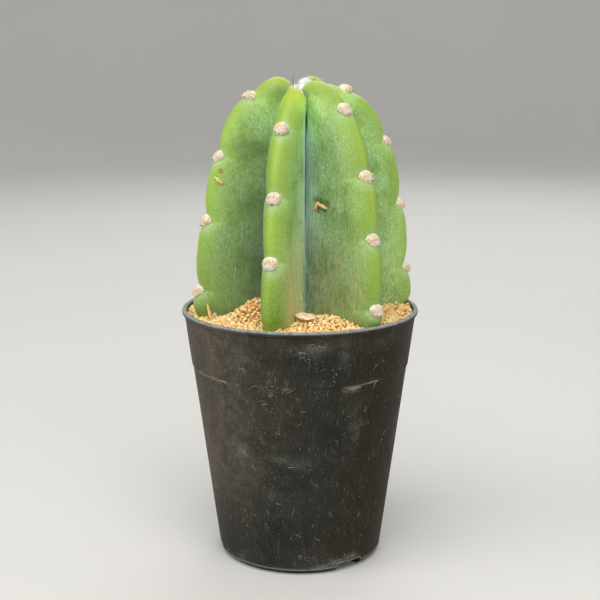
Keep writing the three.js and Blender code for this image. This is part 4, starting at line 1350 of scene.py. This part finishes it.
def add_flake(heap, corners, width, random):
    """A thin curled flake along corners."""
    t = np.linspace(0, 1, 9)
    path = polyline(corners, t)
    path[1:-1] = (path[:-2] + path[1:-1] * 2 + path[2:]) / 4
    path += random.normal(0, 0.05, path.shape)
    heap.add(*tube(path, width / 2 * (0.35 + 0.65 * np.sin(math.pi * np.clip(t, 0.06, 0.94))), 7))


def make_flakes():
    """Bits of dry husk stuck to the flesh."""
    random = np.random.default_rng(14)
    heap = Heap()
    for pixels, width in FLAKES:
        add_flake(heap, over_flesh(pixels, width * 0.35), width, random)
    return heap.make("husk_flakes")


def make_scars():
    """Thin pale scratches and small scabs, sunk almost level into the flesh."""
    heap = Heap()
    for pixels in SCRATCHES:
        t = np.linspace(0, 1, 4 * len(pixels))
        path = polyline(over_flesh(pixels, -0.03), t)
        heap.add(*tube(path, 0.1 * np.sin(math.pi * np.clip(t, 0.08, 0.92)), 6), tint=1)
    ball, triangles = unit_ball(3)
    for x, y, size in SCABS:
        place, normal = on_flesh(x, y)
        shape = ball * size * (1 + 0.2 * lattice_noise(ball, 0.8, 40))[:, None]
        shape -= np.outer(shape @ normal, normal) * 0.8
        heap.add(shape + place, triangles, tint=0)
    return heap.make("flesh_scars")


def make_straws():
    """Short dry stalks on the grit, one of them leaning on the left rib."""
    random = np.random.default_rng(9)
    heap = Heap()
    foot = on_grit(*LEANING_STRAW[0], 0.2)
    top, normal = on_flesh(*LEANING_STRAW[1])
    add_flake(heap, [foot, mix(foot, top, 0.5) + (0.25, -0.3, 0), top + normal * 0.7], 1.25, random)
    for start, end in LYING_STRAWS:
        add_flake(heap, [on_grit(*start, 0.6), on_grit(*end, 0.9)], 0.5, random)
    return heap.make("straws")


def make_pebbles():
    """A grey pebble beside the left rib and a few crumbs."""
    random = np.random.default_rng(17)
    ball, triangles = unit_ball(3)
    heap = Heap()
    for x, y, radius, tint in PEBBLES:
        shape = ball * (1 + 0.2 * lattice_noise(ball, 0.8, noise_seed(random)))[:, None]
        shape *= radius * random.uniform(0.85, 1.15, 3)
        heap.add(shape + on_grit(x, y, radius * 0.3), triangles, tint=tint)
    return heap.make("pebbles")


stain_flesh()
husk_look = dry_material("husk", (255, 232, 206), (214, 168, 130), (0.5, 2.6, 2.6))
flake_look = dry_material("husk_flake", (250, 216, 164), (214, 160, 104), (1.5, 1.5, 1.5))
straw_look = dry_material("straw", (240, 200, 140), (190, 138, 86), (3, 3, 0.5))
scar_look = porous_material(
    "scar", 2, 4, 0.1, ((124, 118, 62), (156, 142, 84)), ((150, 176, 128), (196, 214, 180)),
    (0.75, 0.6), 0.1,
)
pebble_look = porous_material(
    "pebble", 1.4, 5, 0.15, ((96, 62, 38), (158, 104, 66)), ((150, 140, 124), (214, 208, 194)),
    (0.95, 0.75), 0.25,
)
finish_piece(make_husk(), husk_look, "husk", "husk")
finish_piece(make_flakes(), flake_look, "husk")
finish_piece(make_scars(), scar_look, "flesh")
finish_piece(make_straws(), straw_look, "husk")
finish_piece(make_pebbles(), pebble_look, "grit")

# CAD nodes that stay
for node_name, look in (("potting_mix", mix_material()), ("drainage_net", net_material())):
    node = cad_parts[node_name]
    node.data.materials.clear()
    node.data.materials.append(look)

# Floor and light, in metres
FLOOR_FLAT = 1.5
FLOOR_BEND = 0.9
FLOOR_WALL = 3
FLOOR_AROUND = 96
AIM = (0, 0, 0.09)
LIGHTS = (  # name, place, size, power and colour
    ("key", (-0.1, -0.75, 1.35), 1.4, 18, (1, 0.985, 0.96)),
    ("left", (-1.25, -0.45, 0.65), 0.9, 7, (1, 0.99, 0.97)),
    ("right", (0.75, -1, 0.5), 1, 4.2, (0.99, 0.99, 1)),
    ("back", (0.2, 1, 0.9), 1, 5, (1, 1, 1)),
)


def make_floor():
    """A pale floor that curves up into a wall all round."""
    bend = np.linspace(0.1, math.pi / 2, 14)
    outline = [(r, 0) for r in np.linspace(0.05, FLOOR_FLAT, 12)]
    outline += list(zip(FLOOR_FLAT + FLOOR_BEND * np.sin(bend), FLOOR_BEND * (1 - np.cos(bend))))
    outline.append((FLOOR_FLAT + FLOOR_BEND, FLOOR_WALL))
    radii, heights = np.array(outline).T[:, :, None]
    turn = np.arange(FLOOR_AROUND) * 2 * math.pi / FLOOR_AROUND
    points = around_axis(radii, turn, heights).reshape(-1, 3) / MM
    faces = grid_faces(len(outline), FLOOR_AROUND, flip=True)
    return make_object("floor", points, [*faces, range(FLOOR_AROUND)])


floor = make_floor()
floor.data.materials.append(floor_material())
for name, place, size, power, colour in LIGHTS:
    data = bpy.data.lights.new(name, "AREA")
    data.shape = "DISK"
    data.size = size
    data.energy = power
    data.color = colour
    light = bpy.data.objects.new(name, data)
    light.location = place
    light.rotation_euler = (Vector(AIM) - light.location).to_track_quat("-Z", "Y").to_euler()
    bpy.context.scene.collection.objects.link(light)
world = bpy.data.worlds.new("world")
world.use_nodes = True
world.node_tree.nodes["Background"].inputs["Color"].default_value = (0.92, 0.96, 1, 1)
world.node_tree.nodes["Background"].inputs["Strength"].default_value = 0.6
bpy.context.scene.world = world
bpy.context.scene.view_settings.view_transform = "Standard"

bpy.context.view_layer.update()
